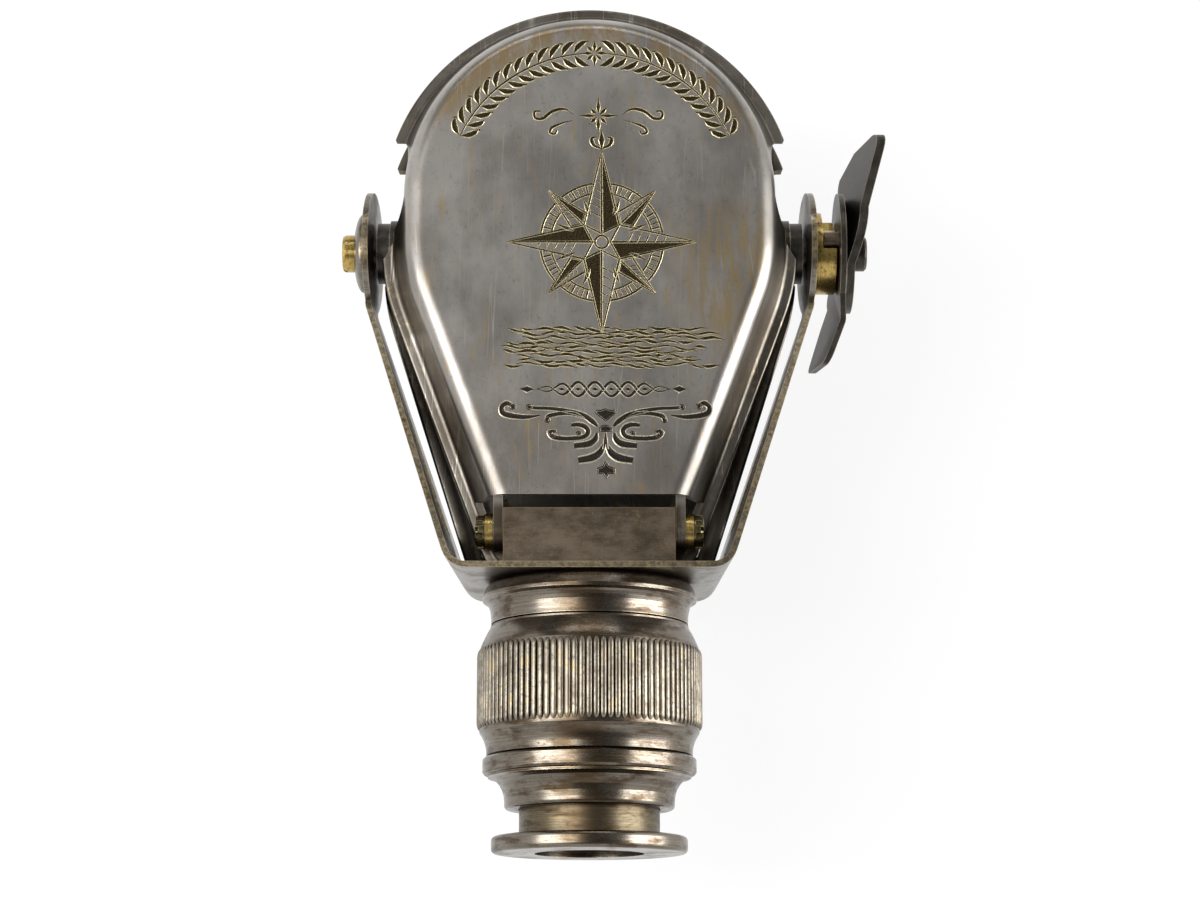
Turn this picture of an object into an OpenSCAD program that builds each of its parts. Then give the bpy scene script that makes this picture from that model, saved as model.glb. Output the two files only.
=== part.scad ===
// Folding pocket spyglass, shown closed.
// The optical axis is Y, with the eyecup's end face at Y = 0 and the covers at the far end.
// X runs along the pivot of the lens ring, and Z points out of the engraved front cover.

/* [Eyecup and eyepiece tube] */
// Radius of the eyecup disc
eyecup_r = 17.7; // [16.5:0.1:19]
// Thickness of the eyecup disc
eyecup_t = 3.0; // [2.8:0.1:4]
// Radius of the dished mouth in the eyecup's end face
mouth_r = 9.9; // [8.5:0.1:10.5]
// Depth of the straight part of the mouth
mouth_depth = 1; // [0.8:0.1:1.3]
// Radius of the eye hole
eye_hole_r = 6.5; // [4:0.1:8]
// Outside radius of the sliding eyepiece tube
tube_r = 12.7; // [12.2:0.1:12.9]
// Wall of the eyepiece tube behind the eye lens
tube_wall = 2.1; // [1.6:0.1:2.6]
// Length of the eyepiece tube
tube_len = 38; // [34:0.5:40]
// Bare tube between the eyecup and the end collar, at rest
tube_gap = 4.8; // [4.2:0.1:5.5]
// Thickness of the eye lens at its edge
eye_lens_t = 2.9; // [2.4:0.1:3.2]

/* [Focusing barrel] */
// Wall of the fixed inner barrel
barrel_wall = 2.2; // [1.8:0.1:2.5]
// Length of the concave end collar
collar_len = 6.5; // [6:0.1:7.5]
// Wall of the raised band above the end collar
band_wall = 4.35; // [3.8:0.05:4.8]
// Width of the raised band
band_len = 2.7; // [2.2:0.1:3.4]
// Length of the focus ring, with both shoulders
focus_len = 23.8; // [22:0.1:26]
// Length of the knurled part of the focus ring
knurl_len = 14.4; // [12:0.1:15]
// Wall of the focus ring, from its sleeve to the roots of the knurl
grip_wall = 3.1; // [2.6:0.1:4]
// Depth of the knurl
knurl_depth = 0.42; // [0.3:0.02:0.6]
// Number of ridges round the knurl
knurl_count = 100; // [80:2:120]
// Wall of the sleeve with the focusing groove
sleeve_wall = 1.9; // [1.6:0.1:2.4]
// Travel of the eyepiece tube for one full turn of the focus ring
focus_lead = 20; // [16:0.5:24]
// Travel of the eyepiece tube outwards from rest
travel_out = 5.5; // [4:0.1:6]
// Travel of the eyepiece tube inwards from rest
travel_in = 3.5; // [2.5:0.1:3.8]
// Radius of the guide pin
guide_pin_r = 0.95; // [0.8:0.05:1.1]

/* [Flange and yoke] */
// Length of the flange under the yoke
flange_len = 7.6; // [7:0.1:9]
// Wall of the flange at its bead
flange_wall = 4.6; // [4.2:0.1:5.2]
// Wall of the flange at its neck, where it meets the focus ring
neck_wall = 3; // [2.6:0.1:3.6]
// Thickness of the yoke's sheet
yoke_t = 1.1; // [0.9:0.1:1.5]
// Depth of the yoke's base, front to back
yoke_depth = 38; // [36:0.5:40]
// Radius inside the bends of the yoke's arms
yoke_bend = 4.5; // [2:0.5:6]
// Half the width of the yoke's base
yoke_half_w = 24.1; // [23.4:0.1:25]
// Radius of the light hole in the yoke's base
light_hole_r = 10; // [8:0.1:10.2]
// Outward lean of the arms
arm_lean = 18.5; // [17.5:0.5:20]
// Turn of the arms' faces, which opens them a little towards the front
arm_toe = 3; // [0:0.5:4]
// Height of the lens ring's pivot above the yoke's base
pivot_rise = 62.2; // [60:0.1:64]
// Radius of the discs that end the arms
arm_disc_r = 11.4; // [10:0.1:12]
// Half the width of an arm's neck, below its disc
arm_neck = 4.6; // [4:0.1:5.5]
// Half the width of the slot in an arm, at its lower end
slot_half_w = 7; // [5:0.1:8]
// Length of the slot in an arm
slot_len = 27; // [22:0.5:29]

/* [Covers and hinges] */
// Thickness of the covers' sheet
cover_t = 1.1; // [0.9:0.1:1.3]
// Distance of a cover's outer face from the optical axis
cover_face = 17.5; // [17:0.1:18.5]
// Radius of the round top of a cover, at its bend
cover_r = 34.2; // [33.6:0.1:35.2]
// Height of the centre of the round top above the lens ring's pivot
cover_rise = 7; // [5:0.1:8]
// Straight stretch of a cover's side, below the round top
cover_drop = 8.2; // [6:0.1:9]
// Radius of the bend between a cover's face and its side
bend_r = 3.6; // [3:0.1:4]
// Depth of a cover from its face to its lip
cover_depth = 9.6; // [9:0.1:10.4]
// Outward flare of a cover's side, from its bend to its lip
side_flare = 1.9; // [1.4:0.1:2.4]
// Width of a cover's lip beyond its side
lip_w = 2.4; // [1.8:0.1:2.6]
// How much wider the rear cover is than the front one, all round
rear_extra = 0.9; // [0:0.1:1]
// How much wider still the rear cover is at its foot
rear_foot = 2.3; // [0:0.1:2.6]
// How far a cover's lip runs on below its hinge axis
lip_foot = 4.6; // [3:0.1:5]
// Radius of the cuts that taper the ends of the lips towards the bosses
lip_cut_r = 24.5; // [20:0.5:28]
// Radius of the round cut-outs in the sides of the covers
notch_r = 9.4; // [8:0.1:10]
// Half the width of a hinge block
block_half_w = 15.3; // [14.8:0.1:15.6]
// Height of a hinge block
block_h = 10; // [9.4:0.1:10.2]
// Depth of a hinge block, front to back
block_d = 6.8; // [6.2:0.1:7]
// Distance of a hinge axis from the optical axis
hinge_z = 13; // [12.6:0.1:13.4]
// Height of the hinge axes above the yoke's base
hinge_rise = 6.3; // [6:0.1:6.6]
// Thickness of a cover's ears
ear_t = 1.7; // [1.4:0.1:1.9]
// Radius of the round end of an ear
ear_r = 3.6; // [3.2:0.1:4]
// Radius of the shoulder of a hinge screw, on which an ear turns
hinge_pin_r = 2; // [1.6:0.1:2.2]
// Radius of a hinge screw's head
hinge_head_r = 3.1; // [2.8:0.1:3.5]
// Thickness of a hinge washer
hinge_washer_t = 1.35; // [1:0.05:1.6]

/* [Lens ring and lever] */
// Wall of the lens ring round its lens
ring_wall = 3.6; // [3:0.1:4]
// Depth of the lens ring along its own axis
ring_depth = 8; // [7.4:0.1:8.4]
// Radius of the objective lens
lens_r = 25.4; // [24.5:0.1:26]
// Thickness of the objective lens at its edge
lens_edge = 2.4; // [2:0.1:3]
// Radius of the bosses between the ring and the arms
boss_r = 6.2; // [5.6:0.1:6.6]
// Distance of the arms' discs from the optical axis, at their inner faces
disc_x = 40.4; // [39.8:0.1:41.2]
// Radius of the pivot shafts
shaft_r = 3.3; // [3:0.05:3.5]
// Radius of the brass collar on the right arm
collar_r = 7.7; // [7.4:0.1:8]
// Length of the brass collar on the right arm
collar_t = 4.7; // [4.2:0.1:5]
// Radius of the stop pin that turns in the collar's cut
stop_pin_r = 1.6; // [1.3:0.05:1.6]
// Place of the stop pin at rest, in degrees from the front towards the top
stop_angle = 7; // [2:1:14]
// Radius of the levers' hubs
disc_r = 11.3; // [10:0.1:11.8]
// Thickness of the lower lever's plate
lower_t = 1.1; // [0.9:0.1:1.3]
// Half the width of the lower lever's wing
lower_half_w = 6.4; // [5.5:0.1:7]
// Inward lean of the lower lever's wing
lower_lean = 23; // [18:0.5:25]
// Thickness of the thumb lever's plate
lever_t = 1.5; // [1.2:0.1:1.8]
// Half the width of the thumb lever
lever_half_w = 9.4; // [8.6:0.1:10]
// Outward lean of the thumb lever's wing
upper_lean = 23; // [18:0.5:27]
// Reach of the thumb lever's wing above the pivot
lever_up = 21.5; // [20:0.1:24]
// Reach of the lower lever's wing below the pivot
lever_down = 22.4; // [20:0.1:24]

/* [Hidden] */

$fn = 72;
// Clearances: a seated fit, a running fit, and the gap between two faces that turn past each other
seat = 0.02;
run = 0.08;
face_gap = 0.25;
// How far a cutter runs past the surface it cuts
over = 1;

// Stations along the optical axis
tube_seat = 1.9;
collar_y = eyecup_t + tube_gap;
band_y = collar_y + collar_len;
focus_y = band_y + band_len + face_gap;
knurl_y = focus_y + (focus_len - knurl_len) / 2 + 0.2;
flange_y = focus_y + focus_len + face_gap;
base_y = flange_y + flange_len;
base_top = base_y + yoke_t;
pivot_y = base_top + pivot_rise;
hinge_y = base_top + hinge_rise;
pin_y = (flange_y + band_y) / 2;

// Sizes that follow from the ones above
slide_r = tube_r + run;
lens_seat_r = tube_r - 1.3;
barrel_r = slide_r + barrel_wall;
sleeve_r = barrel_r + run + sleeve_wall;
knurl_root = sleeve_r + seat + grip_wall;
knurl_r = knurl_root + knurl_depth;
band_r = barrel_r + seat + band_wall;
flange_r = barrel_r + seat + flange_wall;
neck_r = barrel_r + seat + neck_wall;
head_t = 1.9;
dome_r = 7.4;
head_flutes = 8;
flute_r = 0.55;
hinge_thread_r = 1.5;
ear_x = block_half_w + 0.15;
washer_x = ear_x + ear_t + 0.1;
bead_round = 1.4;
flange_screw_r = 1;
flange_screw_x = barrel_r + flange_wall / 2;
ring_r = lens_r + seat + ring_wall;
ring_bore = lens_r - 1.6;
lens_z = -ring_depth / 2 + 2.2;
stud_in = ring_r - lens_r - 0.8;
lens_front_r = 150;
lens_rear_r = 260;
lens_front_z = lens_z + lens_edge + lens_front_r - sqrt(lens_front_r * lens_front_r - lens_r * lens_r);
disc_out = disc_x + yoke_t;
base_flat = yoke_half_w - yoke_bend - 1.5;
toe_play = tan(arm_toe);
boss_end = disc_x - boss_r * toe_play - face_gap;
collar_brim_r = collar_r + 0.7;
collar_end = disc_out + collar_t;
stop_pin_at = (shaft_r + collar_r) / 2 + 0.6;
dome_x = disc_out + dome_r * toe_play + face_gap;
lower_x = collar_end + 0.2;
lower_fold = collar_r + 0.8;
lower_turn = 35;
lever_x = lower_x + lower_t + seat;
upper_fold = 4.6;
upper_turn = 50;
fold_r = 2.6;
shaft_end = lever_x + lever_t + 3;
cover_bottom = hinge_y + 6.1;
cover_top_y = pivot_y + cover_rise;

// Points of an arc, from angle a0 to a1
function arc(c, r, a0, a1, n) = [for (i = [0:n]) c + r * [cos(a0 + (a1 - a0) * i / n), sin(a0 + (a1 - a0) * i / n)]];
function unit(v) = v / norm(v);
function side_of(v) = [v[1], -v[0]];

// A strip of sheet seen from its edge: straight runs through the points, with bends of radius r,
// moved sideways by d
function strip_edge(points, r, d, i = 0) =
    i == len(points) ? [] :
    let (p = points[i],
         last = len(points) - 1,
         before = i == 0 ? unit(points[1] - p) : unit(p - points[i - 1]),
         after = i == last ? before : unit(points[i + 1] - p),
         turn = atan2(before[0] * after[1] - before[1] * after[0], before * after))
    concat(i == 0 || i == last || abs(turn) < 0.01 ? [p + d * side_of(before)] :
           let (hand = sign(turn),
                centre = p - before * r * tan(abs(turn) / 2) - hand * r * side_of(before),
                start = atan2(hand * side_of(before)[1], hand * side_of(before)[0]))
           arc(centre, r + hand * d, start, start + turn, 6),
           strip_edge(points, r, d, i + 1));
function reversed(list) = [for (i = [len(list) - 1:-1:0]) list[i]];
module strip(points, t, r) {
    polygon(concat(strip_edge(points, r, 0), reversed(strip_edge(points, r, -t))));
}

// A turned piece: the points are [radius, height along the optical axis]
module turned(points, fn = 96) {
    rotate([-90, 0, 0]) rotate_extrude($fn = fn) polygon(points);
}
// A piece turned about the pivot: the points are [radius, distance along X]
module turned_x(points) {
    translate([0, pivot_y, 0]) rotate([0, 90, 0]) rotate_extrude() polygon(points);
}
module bore_x(r, x0, x1, y = pivot_y, z = 0) {
    translate([x0, y, z]) rotate([0, 90, 0]) cylinder(r = r, h = x1 - x0);
}
module bore_y(r, y0, y1, x = 0, z = 0) {
    translate([x, y0, z]) rotate([-90, 0, 0]) cylinder(r = r, h = y1 - y0);
}
module both_sides() {
    children();
    mirror([1, 0, 0]) children();
}
module at_rear() {
    mirror([0, 0, 1]) children();
}

// Eyecup, tube and eye lens
module eyecup() {
    edge = 0.8;
    color("#8d8478")
    turned(concat([[eye_hole_r, tube_seat - 0.3], [mouth_r, mouth_depth], [mouth_r, 0]],
                  arc([eyecup_r - edge, edge], edge, -90, 0, 5),
                  arc([eyecup_r - edge, eyecup_t - edge], edge, 0, 90, 5),
                  [[tube_r + seat, eyecup_t], [tube_r + seat, tube_seat], [eye_hole_r, tube_seat]]));
}
module eyepiece_tube() {
    shoulder = eyecup_t + 1.4 + eye_lens_t + 0.1;
    color("#80776a")
    difference() {
        bore_y(tube_r, tube_seat + seat, tube_seat + tube_len);
        bore_y(lens_seat_r, tube_seat - over, shoulder);
        bore_y(tube_r - tube_wall, shoulder - over, tube_seat + tube_len + over);
        guide_hole(guide_pin_r + seat);
    }
}
module guide_hole(r) {
    translate([0, pin_y, -tube_r - over]) cylinder(r = r, h = tube_wall + 2 * over, $fn = 32);
}
module eye_lens() {
    y0 = eyecup_t + 1.4;
    hollow_r = 34;
    color("#cfe0e4")
    difference() {
        bore_y(lens_seat_r - seat, y0, y0 + eye_lens_t);
        translate([0, y0 - hollow_r + 1.3, 0]) sphere(r = hollow_r, $fn = 128);
    }
}
module eye_lens_retainer() {
    y0 = eyecup_t + 0.1;
    y1 = eyecup_t + 1.36;
    color("#6f675c")
    difference() {
        bore_y(lens_seat_r - seat, y0, y1);
        bore_y(lens_seat_r - 1.8, y0 - over, y1 + over);
        for (s = [-1, 1])
            translate([s * (lens_seat_r - 0.9) - 0.5, y0 - over, -0.4]) cube([1, over + 0.6, 0.8]);
    }
}
module guide_pin() {
    groove_reach = sleeve_r - 0.25;
    color("#b5a05a")
    translate([0, pin_y, -groove_reach]) cylinder(r = guide_pin_r, h = groove_reach - tube_r + tube_wall - 0.1, $fn = 32);
}

// Barrel, focus ring and end collar
module inner_barrel() {
    slot_w = 2 * guide_pin_r + 0.12;
    slot_y = pin_y - travel_out - guide_pin_r - 0.6;
    slot_l = travel_out + travel_in + 2 * guide_pin_r + 1.2;
    color("#7d7568")
    difference() {
        bore_y(barrel_r, collar_y + 1.5, base_y - seat);
        bore_y(slide_r, collar_y, base_y + over);
        translate([-slot_w / 2, slot_y, -barrel_r - over]) cube([slot_w, slot_l, barrel_r]);
    }
}
module end_collar() {
    foot_r = barrel_r + 0.4;
    brim_r = band_r - 0.95;
    color("#8d8478")
    turned(concat([[slide_r + run, collar_y]],
                  arc([foot_r - 0.7, collar_y + 0.7], 0.7, -90, 0, 4),
                  [for (i = [0:6]) let (a = 90 * i / 6)
                      [foot_r + (brim_r - foot_r) * (1 - cos(a)), collar_y + 1.3 + (collar_len - 2.1) * sin(a)]],
                  [[brim_r, band_y - 0.4], [band_r - 0.3, band_y - 0.2], [band_r, band_y + 0.2],
                   [band_r, band_y + band_len - 0.3], [band_r - 0.3, band_y + band_len],
                   [barrel_r + seat, band_y + band_len], [barrel_r + seat, collar_y + 1.4],
                   [slide_r + run, collar_y + 1.4]]));
}
module focus_ring() {
    end_y = focus_y + focus_len;
    root_r = knurl_root;
    lip_y = end_y - 3.8;
    foot_r = band_r - 1.1;
    color("#9a9184")
    union() {
        turned(concat([[sleeve_r + seat, focus_y], [foot_r, focus_y]],
                      [for (i = [0:5]) let (a = 90 * i / 5)
                          [foot_r + (root_r - 0.1 - foot_r) * sin(a), focus_y + 0.6 + (knurl_y - focus_y - 0.8) * (1 - cos(a))]],
                      [[root_r - 0.1, knurl_y + over], [root_r - 0.1, knurl_y + knurl_len + 0.1]],
                      [for (i = [1:6]) let (t = i / 6)
                          [root_r - 0.1 - (root_r - 0.2 - neck_r) * pow(t, 1.25),
                           knurl_y + knurl_len + 0.1 + (end_y - knurl_y - knurl_len - 0.5) * t]],
                      [[neck_r + 0.1, end_y], [barrel_r + run, end_y], [barrel_r + run, lip_y],
                       [sleeve_r + seat, lip_y]]));
        translate([0, knurl_y, 0]) rotate([-90, 0, 0]) linear_extrude(knurl_len) difference() {
            polygon([for (i = [0:knurl_count - 1], k = [0, 1])
                (k == 0 ? knurl_r : root_r) * [cos(360 * (i + k / 2) / knurl_count), sin(360 * (i + k / 2) / knurl_count)]]);
            circle(r = root_r - over, $fn = 96);
        }
    }
}
module focus_sleeve() {
    sleeve_y = focus_y + 0.05;
    sleeve_end = focus_y + focus_len - 3.85;
    groove_y = pin_y - travel_out - guide_pin_r - 0.4;
    groove_l = travel_out + travel_in + 2 * guide_pin_r + 0.8;
    span = 180 * (2 * guide_pin_r + 0.2) / focus_lead;
    start = 360 * (pin_y - groove_y) / focus_lead;
    color("#a98f4c")
    difference() {
        bore_y(sleeve_r, sleeve_y, sleeve_end);
        bore_y(barrel_r + run, sleeve_y - over, sleeve_end + over);
        translate([0, groove_y, 0]) rotate([-90, 0, 0]) rotate([0, 0, start])
            linear_extrude(groove_l, twist = 360 * groove_l / focus_lead, slices = 24)
                polygon(concat(arc([0, 0], barrel_r - over, 90 - span, 90 + span, 4),
                               arc([0, 0], sleeve_r + over, 90 + span, 90 - span, 4)));
    }
}

// Flange and yoke
module eyepiece_flange() {
    bead_y = base_y - 0.46 * flange_len;
    color("#8d8478")
    difference() {
        turned(concat([[barrel_r + seat, flange_y], [neck_r, flange_y], [neck_r, flange_y + 0.7]],
                      [for (i = [0:6]) let (a = 90 * i / 6)
                          [neck_r + (flange_r - 0.5 - neck_r) * (1 - cos(a)),
                           flange_y + 0.7 + (bead_y - flange_y - 0.7) * sin(a)]],
                      [[flange_r, bead_y + 0.3], [flange_r, bead_y + 0.9]],
                      arc([flange_r - bead_round - 0.4, base_y - bead_round - 0.3], bead_round, 12, 70, 5),
                      [[flange_r - bead_round - 0.4, base_y], [barrel_r + seat, base_y]]));
        flange_screw_holes(flange_screw_r + seat, base_y - flange_len / 2 - 0.1);
    }
}
module flange_screw_holes(r, y0) {
    both_sides() bore_y(r, y0, base_top + over, flange_screw_x);
}
module flange_screws() {
    head_r = 0.48 * flange_wall - 0.4;
    head_y = base_top + seat;
    color("#4a433c")
    both_sides() difference() {
        union() {
            bore_y(flange_screw_r, base_y - flange_len / 2, head_y + 0.5, flange_screw_x);
            bore_y(head_r, head_y, head_y + 0.9, flange_screw_x);
        }
        translate([flange_screw_x - flange_wall, head_y + 0.45, -0.25]) cube([2 * flange_wall, over, 0.5]);
    }
}
// The YZ outline of one arm, with its disc and its slot
module arm_outline() {
    neck_y = pivot_y - arm_disc_r + 1.5;
    half = yoke_depth / 2;
    slot_y = base_top + 9;
    slot_top = slot_y + slot_len;
    leg_lean = (half - arm_neck) / (neck_y - base_top - 4);
    difference() {
        union() {
            polygon([[base_y - 2, -half], [base_top + 4, -half], [neck_y, -arm_neck], [pivot_y, -arm_neck],
                     [pivot_y, arm_neck], [neck_y, arm_neck], [base_top + 4, half], [base_y - 2, half]]);
            translate([pivot_y, 0]) circle(r = arm_disc_r);
        }
        polygon(concat(arc([slot_y + 1.2, slot_half_w - 1.2], 1.2, 180, 90 + atan(leg_lean), 4),
                       arc([slot_top - 0.8, 0], 0.8, 60, -60, 4),
                       arc([slot_y + 1.2, -slot_half_w + 1.2], 1.2, -90 - atan(leg_lean), -180, 4)));
    }
}
module arm() {
    rise = disc_out - yoke_half_w;
    bend_y = base_y + rise / tan(arm_lean);
    reach = pivot_y + arm_disc_r + 2;
    intersection() {
        translate([yoke_half_w, 0, 0]) rotate([0, arm_toe, 0]) translate([-yoke_half_w, 0, -30])
            linear_extrude(60)
                strip([[base_flat - 4, base_y], [yoke_half_w, base_y], [disc_out, bend_y], [disc_out, reach]], yoke_t, yoke_bend);
        rotate([90, 0, 90]) linear_extrude(disc_out + 10) arm_outline();
    }
}
module yoke() {
    half = yoke_depth / 2;
    color("#8a8072")
    difference() {
        union() {
            translate([-base_flat, base_y, -half]) cube([2 * base_flat, yoke_t, yoke_depth]);
            both_sides() arm();
        }
        bore_y(light_hole_r, base_y - over, base_top + over);
        flange_screw_holes(flange_screw_r + seat, base_y - over);
        bore_x(shaft_r + 0.06, disc_x - 5, disc_out + 5);
        bore_x(shaft_r + 0.06, -disc_out - 5, -disc_x + 5);
    }
}

// Hinge blocks, screws and washers: the front set, which the rear one mirrors
module hinge_block() {
    color("#6b5a48")
    difference() {
        translate([-block_half_w, base_top, cover_face - 0.3 - block_d]) cube([2 * block_half_w, block_h, block_d]);
        both_sides() bore_x(hinge_thread_r + seat, block_half_w - 6.2, block_half_w + over, hinge_y, hinge_z);
    }
}
module hinge_screws() {
    head_x = washer_x + hinge_washer_t + 0.02;
    color("#c9a544")
    both_sides() difference() {
        union() {
            bore_x(hinge_thread_r, block_half_w - 6, block_half_w + over, hinge_y, hinge_z);
            bore_x(hinge_pin_r, block_half_w + seat, head_x + 0.2, hinge_y, hinge_z);
            translate([0, hinge_y, hinge_z]) rotate([0, 90, 0]) rotate_extrude()
                polygon([[0, head_x], [hinge_head_r, head_x], [hinge_head_r, head_x + head_t - 0.6],
                         [hinge_head_r - 0.25, head_x + head_t - 0.2], [hinge_head_r - 0.8, head_x + head_t],
                         [0, head_x + head_t]]);
        }
        translate([head_x + head_t - 0.7, hinge_y - 0.4, hinge_z - 5]) cube([over + 1, 0.8, 10]);
        translate([0, hinge_y, hinge_z]) for (i = [0:head_flutes - 1]) rotate([360 * (i + 0.5) / head_flutes, 0, 0])
            translate([head_x + 0.35, 0, hinge_head_r + 0.15]) rotate([0, 90, 0]) cylinder(r = flute_r, h = head_t, $fn = 24);
    }
}
module hinge_washers() {
    color("#c9a544")
    both_sides() difference() {
        bore_x(hinge_head_r + 0.2, washer_x, washer_x + hinge_washer_t, hinge_y, hinge_z);
        bore_x(hinge_pin_r + 0.03, washer_x - over, washer_x + hinge_washer_t + over, hinge_y, hinge_z);
    }
}

// The outline of a cover is round arcs joined by straight runs: [centre, radius] of each arc
// on the right-hand side, from the top down. Growing every radius by d moves it outwards by d.
foot_r = bend_r + cover_t + 1;
function cover_arcs(extra) = [
    [[0, cover_top_y], cover_r + extra],
    [[0, cover_top_y - cover_drop], cover_r + extra],
    [[block_half_w - 4.9 + (extra > 0 ? rear_foot : 0), hinge_y + 0.8], foot_r + extra]];
// Direction of the outward normal of the run that touches two arcs
function run_angle(a, b) =
    let (v = b[0] - a[0])
    atan2(v[1], v[0]) + acos((a[1] - b[1]) / norm(v));
function cover_ring(extra, d, z) =
    let (arcs = cover_arcs(extra),
         upper = run_angle(arcs[0], arcs[1]),
         lower = run_angle(arcs[1], arcs[2]),
         half = concat(arc(arcs[2][0], arcs[2][1] + d, -90, lower, 3),
                       arc(arcs[1][0], arcs[1][1] + d, lower, upper, 4),
                       arc(arcs[0][0], arcs[0][1] + d, upper, 90, 20)))
    concat([for (p = half) [p[0], p[1], z]],
           [for (i = [len(half) - 2:-1:0]) [-half[i][0], half[i][1], z]]);
// Section of a cover through its face, bend, flared side and lip: [outward offset, height]
function cover_section() =
    let (low = cover_face - cover_depth,
         knee = side_flare - 0.25,
         lip = side_flare + lip_w)
    concat([for (a = [90:-18:0]) [bend_r * (cos(a) - 1), cover_face - bend_r * (1 - sin(a))]],
           [[knee, low + cover_t + 0.9], [side_flare + 0.35, low + cover_t + 0.15], [side_flare + 1, low + cover_t],
            [lip - 0.3, low + cover_t], [lip, low + cover_t / 2], [lip - 0.3, low],
            [side_flare - 0.2, low], [knee - cover_t, low + 0.8]],
           [for (a = [0:22.5:90]) let (r = bend_r - cover_t)
               [r * cos(a) - bend_r, cover_face - bend_r + r * sin(a)]]);
module cover_shell(extra) {
    rings = [for (s = cover_section()) cover_ring(extra, s[0], s[1])];
    count = len(rings[0]);
    last = len(rings) - 1;
    polyhedron(
        points = [for (ring = rings) for (p = ring) p],
        faces = concat([[for (i = [0:count - 1]) count - 1 - i]],
                       [for (k = [0:last - 1], i = [0:count - 1], half = [0, 1])
                           let (a = k * count + i, b = k * count + (i + 1) % count, up = count)
                           half == 0 ? [a, b, b + up] : [a, b + up, a + up]],
                       [[for (i = [0:count - 1]) last * count + i]]));
}
// Height of the outer surface of a cover above the outer side of its ears, where its face ends
function ear_top(extra) =
    let (arcs = cover_arcs(extra),
         a = run_angle(arcs[1], arcs[2]),
         edge_x = (arcs[1][1] - (cover_bottom - arcs[1][0][1]) * sin(a)) / cos(a),
         u = max(0, 1 - (edge_x - ear_x - ear_t) * cos(a) / bend_r))
    cover_face - bend_r * (1 - sqrt(1 - u * u));
module ear_outline(extra) {
    top = ear_top(extra) - 0.12;
    translate([hinge_y, hinge_z]) circle(r = ear_r);
    polygon([[hinge_y - 0.6, hinge_z - ear_r + 0.06], [cover_bottom + 4.5, hinge_z - ear_r - 0.3],
             [cover_bottom + 4.5, top], [cover_bottom - 0.2, top],
             [hinge_y + 1, hinge_z + ear_r - 0.16]]);
}
module cover(extra) {
    lip_top = cover_face - cover_depth + cover_t;
    notch_z = cover_face - bend_r + 0.5 - notch_r;
    notch_y = cover_top_y + 3.2;
    difference() {
        union() {
            difference() {
                cover_shell(extra);
                translate([-30, hinge_y - 20, lip_top + 0.3]) cube([60, cover_bottom - hinge_y + 20, 30]);
                translate([-30, hinge_y - 25, 0]) cube([60, 25 - lip_foot, 30]);
                bore_x(notch_r, -45, 45, notch_y, notch_z);
                both_sides() translate([cover_r + extra + lip_cut_r, notch_y - 0.6, -over])
                    cylinder(r = lip_cut_r, h = lip_top + over + 0.3, $fn = 128);
            }
            both_sides() translate([ear_x, 0, 0]) rotate([90, 0, 90]) linear_extrude(ear_t) ear_outline(extra);
        }
        bore_x(hinge_pin_r + 0.06, -30, 30, hinge_y, hinge_z);
    }
}

// Lens ring, modelled lying closed, with its own axis along Z
module about_pivot() {
    translate([0, pivot_y, 0]) children();
}
module objective_ring() {
    half = ring_depth / 2;
    color("#7d7568")
    difference() {
        about_pivot() rotate_extrude($fn = 128)
            polygon([[ring_bore, -half], [ring_r - 1.2, -half], [ring_r - 0.4, -half + 0.5], [ring_r - 0.4, -half + 1.5],
                     [ring_r, -half + 1.9], [ring_r, half - 1.9], [ring_r - 0.4, half - 1.5],
                     [ring_r - 0.4, half - 0.5], [ring_r - 1.2, half], [lens_r + 0.6, half],
                     [lens_r + seat, half - 0.6], [lens_r + seat, lens_z], [ring_bore, lens_z]]);
        both_sides() bore_x(2.2, ring_r - stud_in - 0.1, ring_r + over);
    }
}
function sag(r, x) = r - sqrt(r * r - x * x);
module objective_lens() {
    z0 = lens_z + seat + sag(lens_rear_r, lens_r) - sag(lens_rear_r, ring_bore);
    color("#d5e6ea")
    about_pivot() intersection() {
        translate([0, 0, z0 - lens_r]) cylinder(r = lens_r - seat, h = 2 * lens_r, $fn = 128);
        translate([0, 0, lens_front_z - lens_front_r]) sphere(r = lens_front_r, $fn = 200);
        translate([0, 0, z0 - sag(lens_rear_r, lens_r) + lens_rear_r]) sphere(r = lens_rear_r, $fn = 200);
    }
}
module lens_retaining_ring() {
    half = ring_depth / 2;
    inner_r = ring_bore - 0.6;
    z0 = lens_front_z - sag(lens_front_r, inner_r) + seat;
    color("#6f675c")
    about_pivot() difference() {
        translate([0, 0, z0]) cylinder(r = lens_r - seat, h = half - 0.7 - z0, $fn = 128);
        translate([0, 0, z0 - over]) cylinder(r1 = inner_r, r2 = inner_r + 1.4, h = half - z0 + over, $fn = 128);
        for (s = [-1, 1]) translate([-0.9, s * lens_r - 2, half - 1.6]) cube([1.8, 4, 2]);
    }
}
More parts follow.
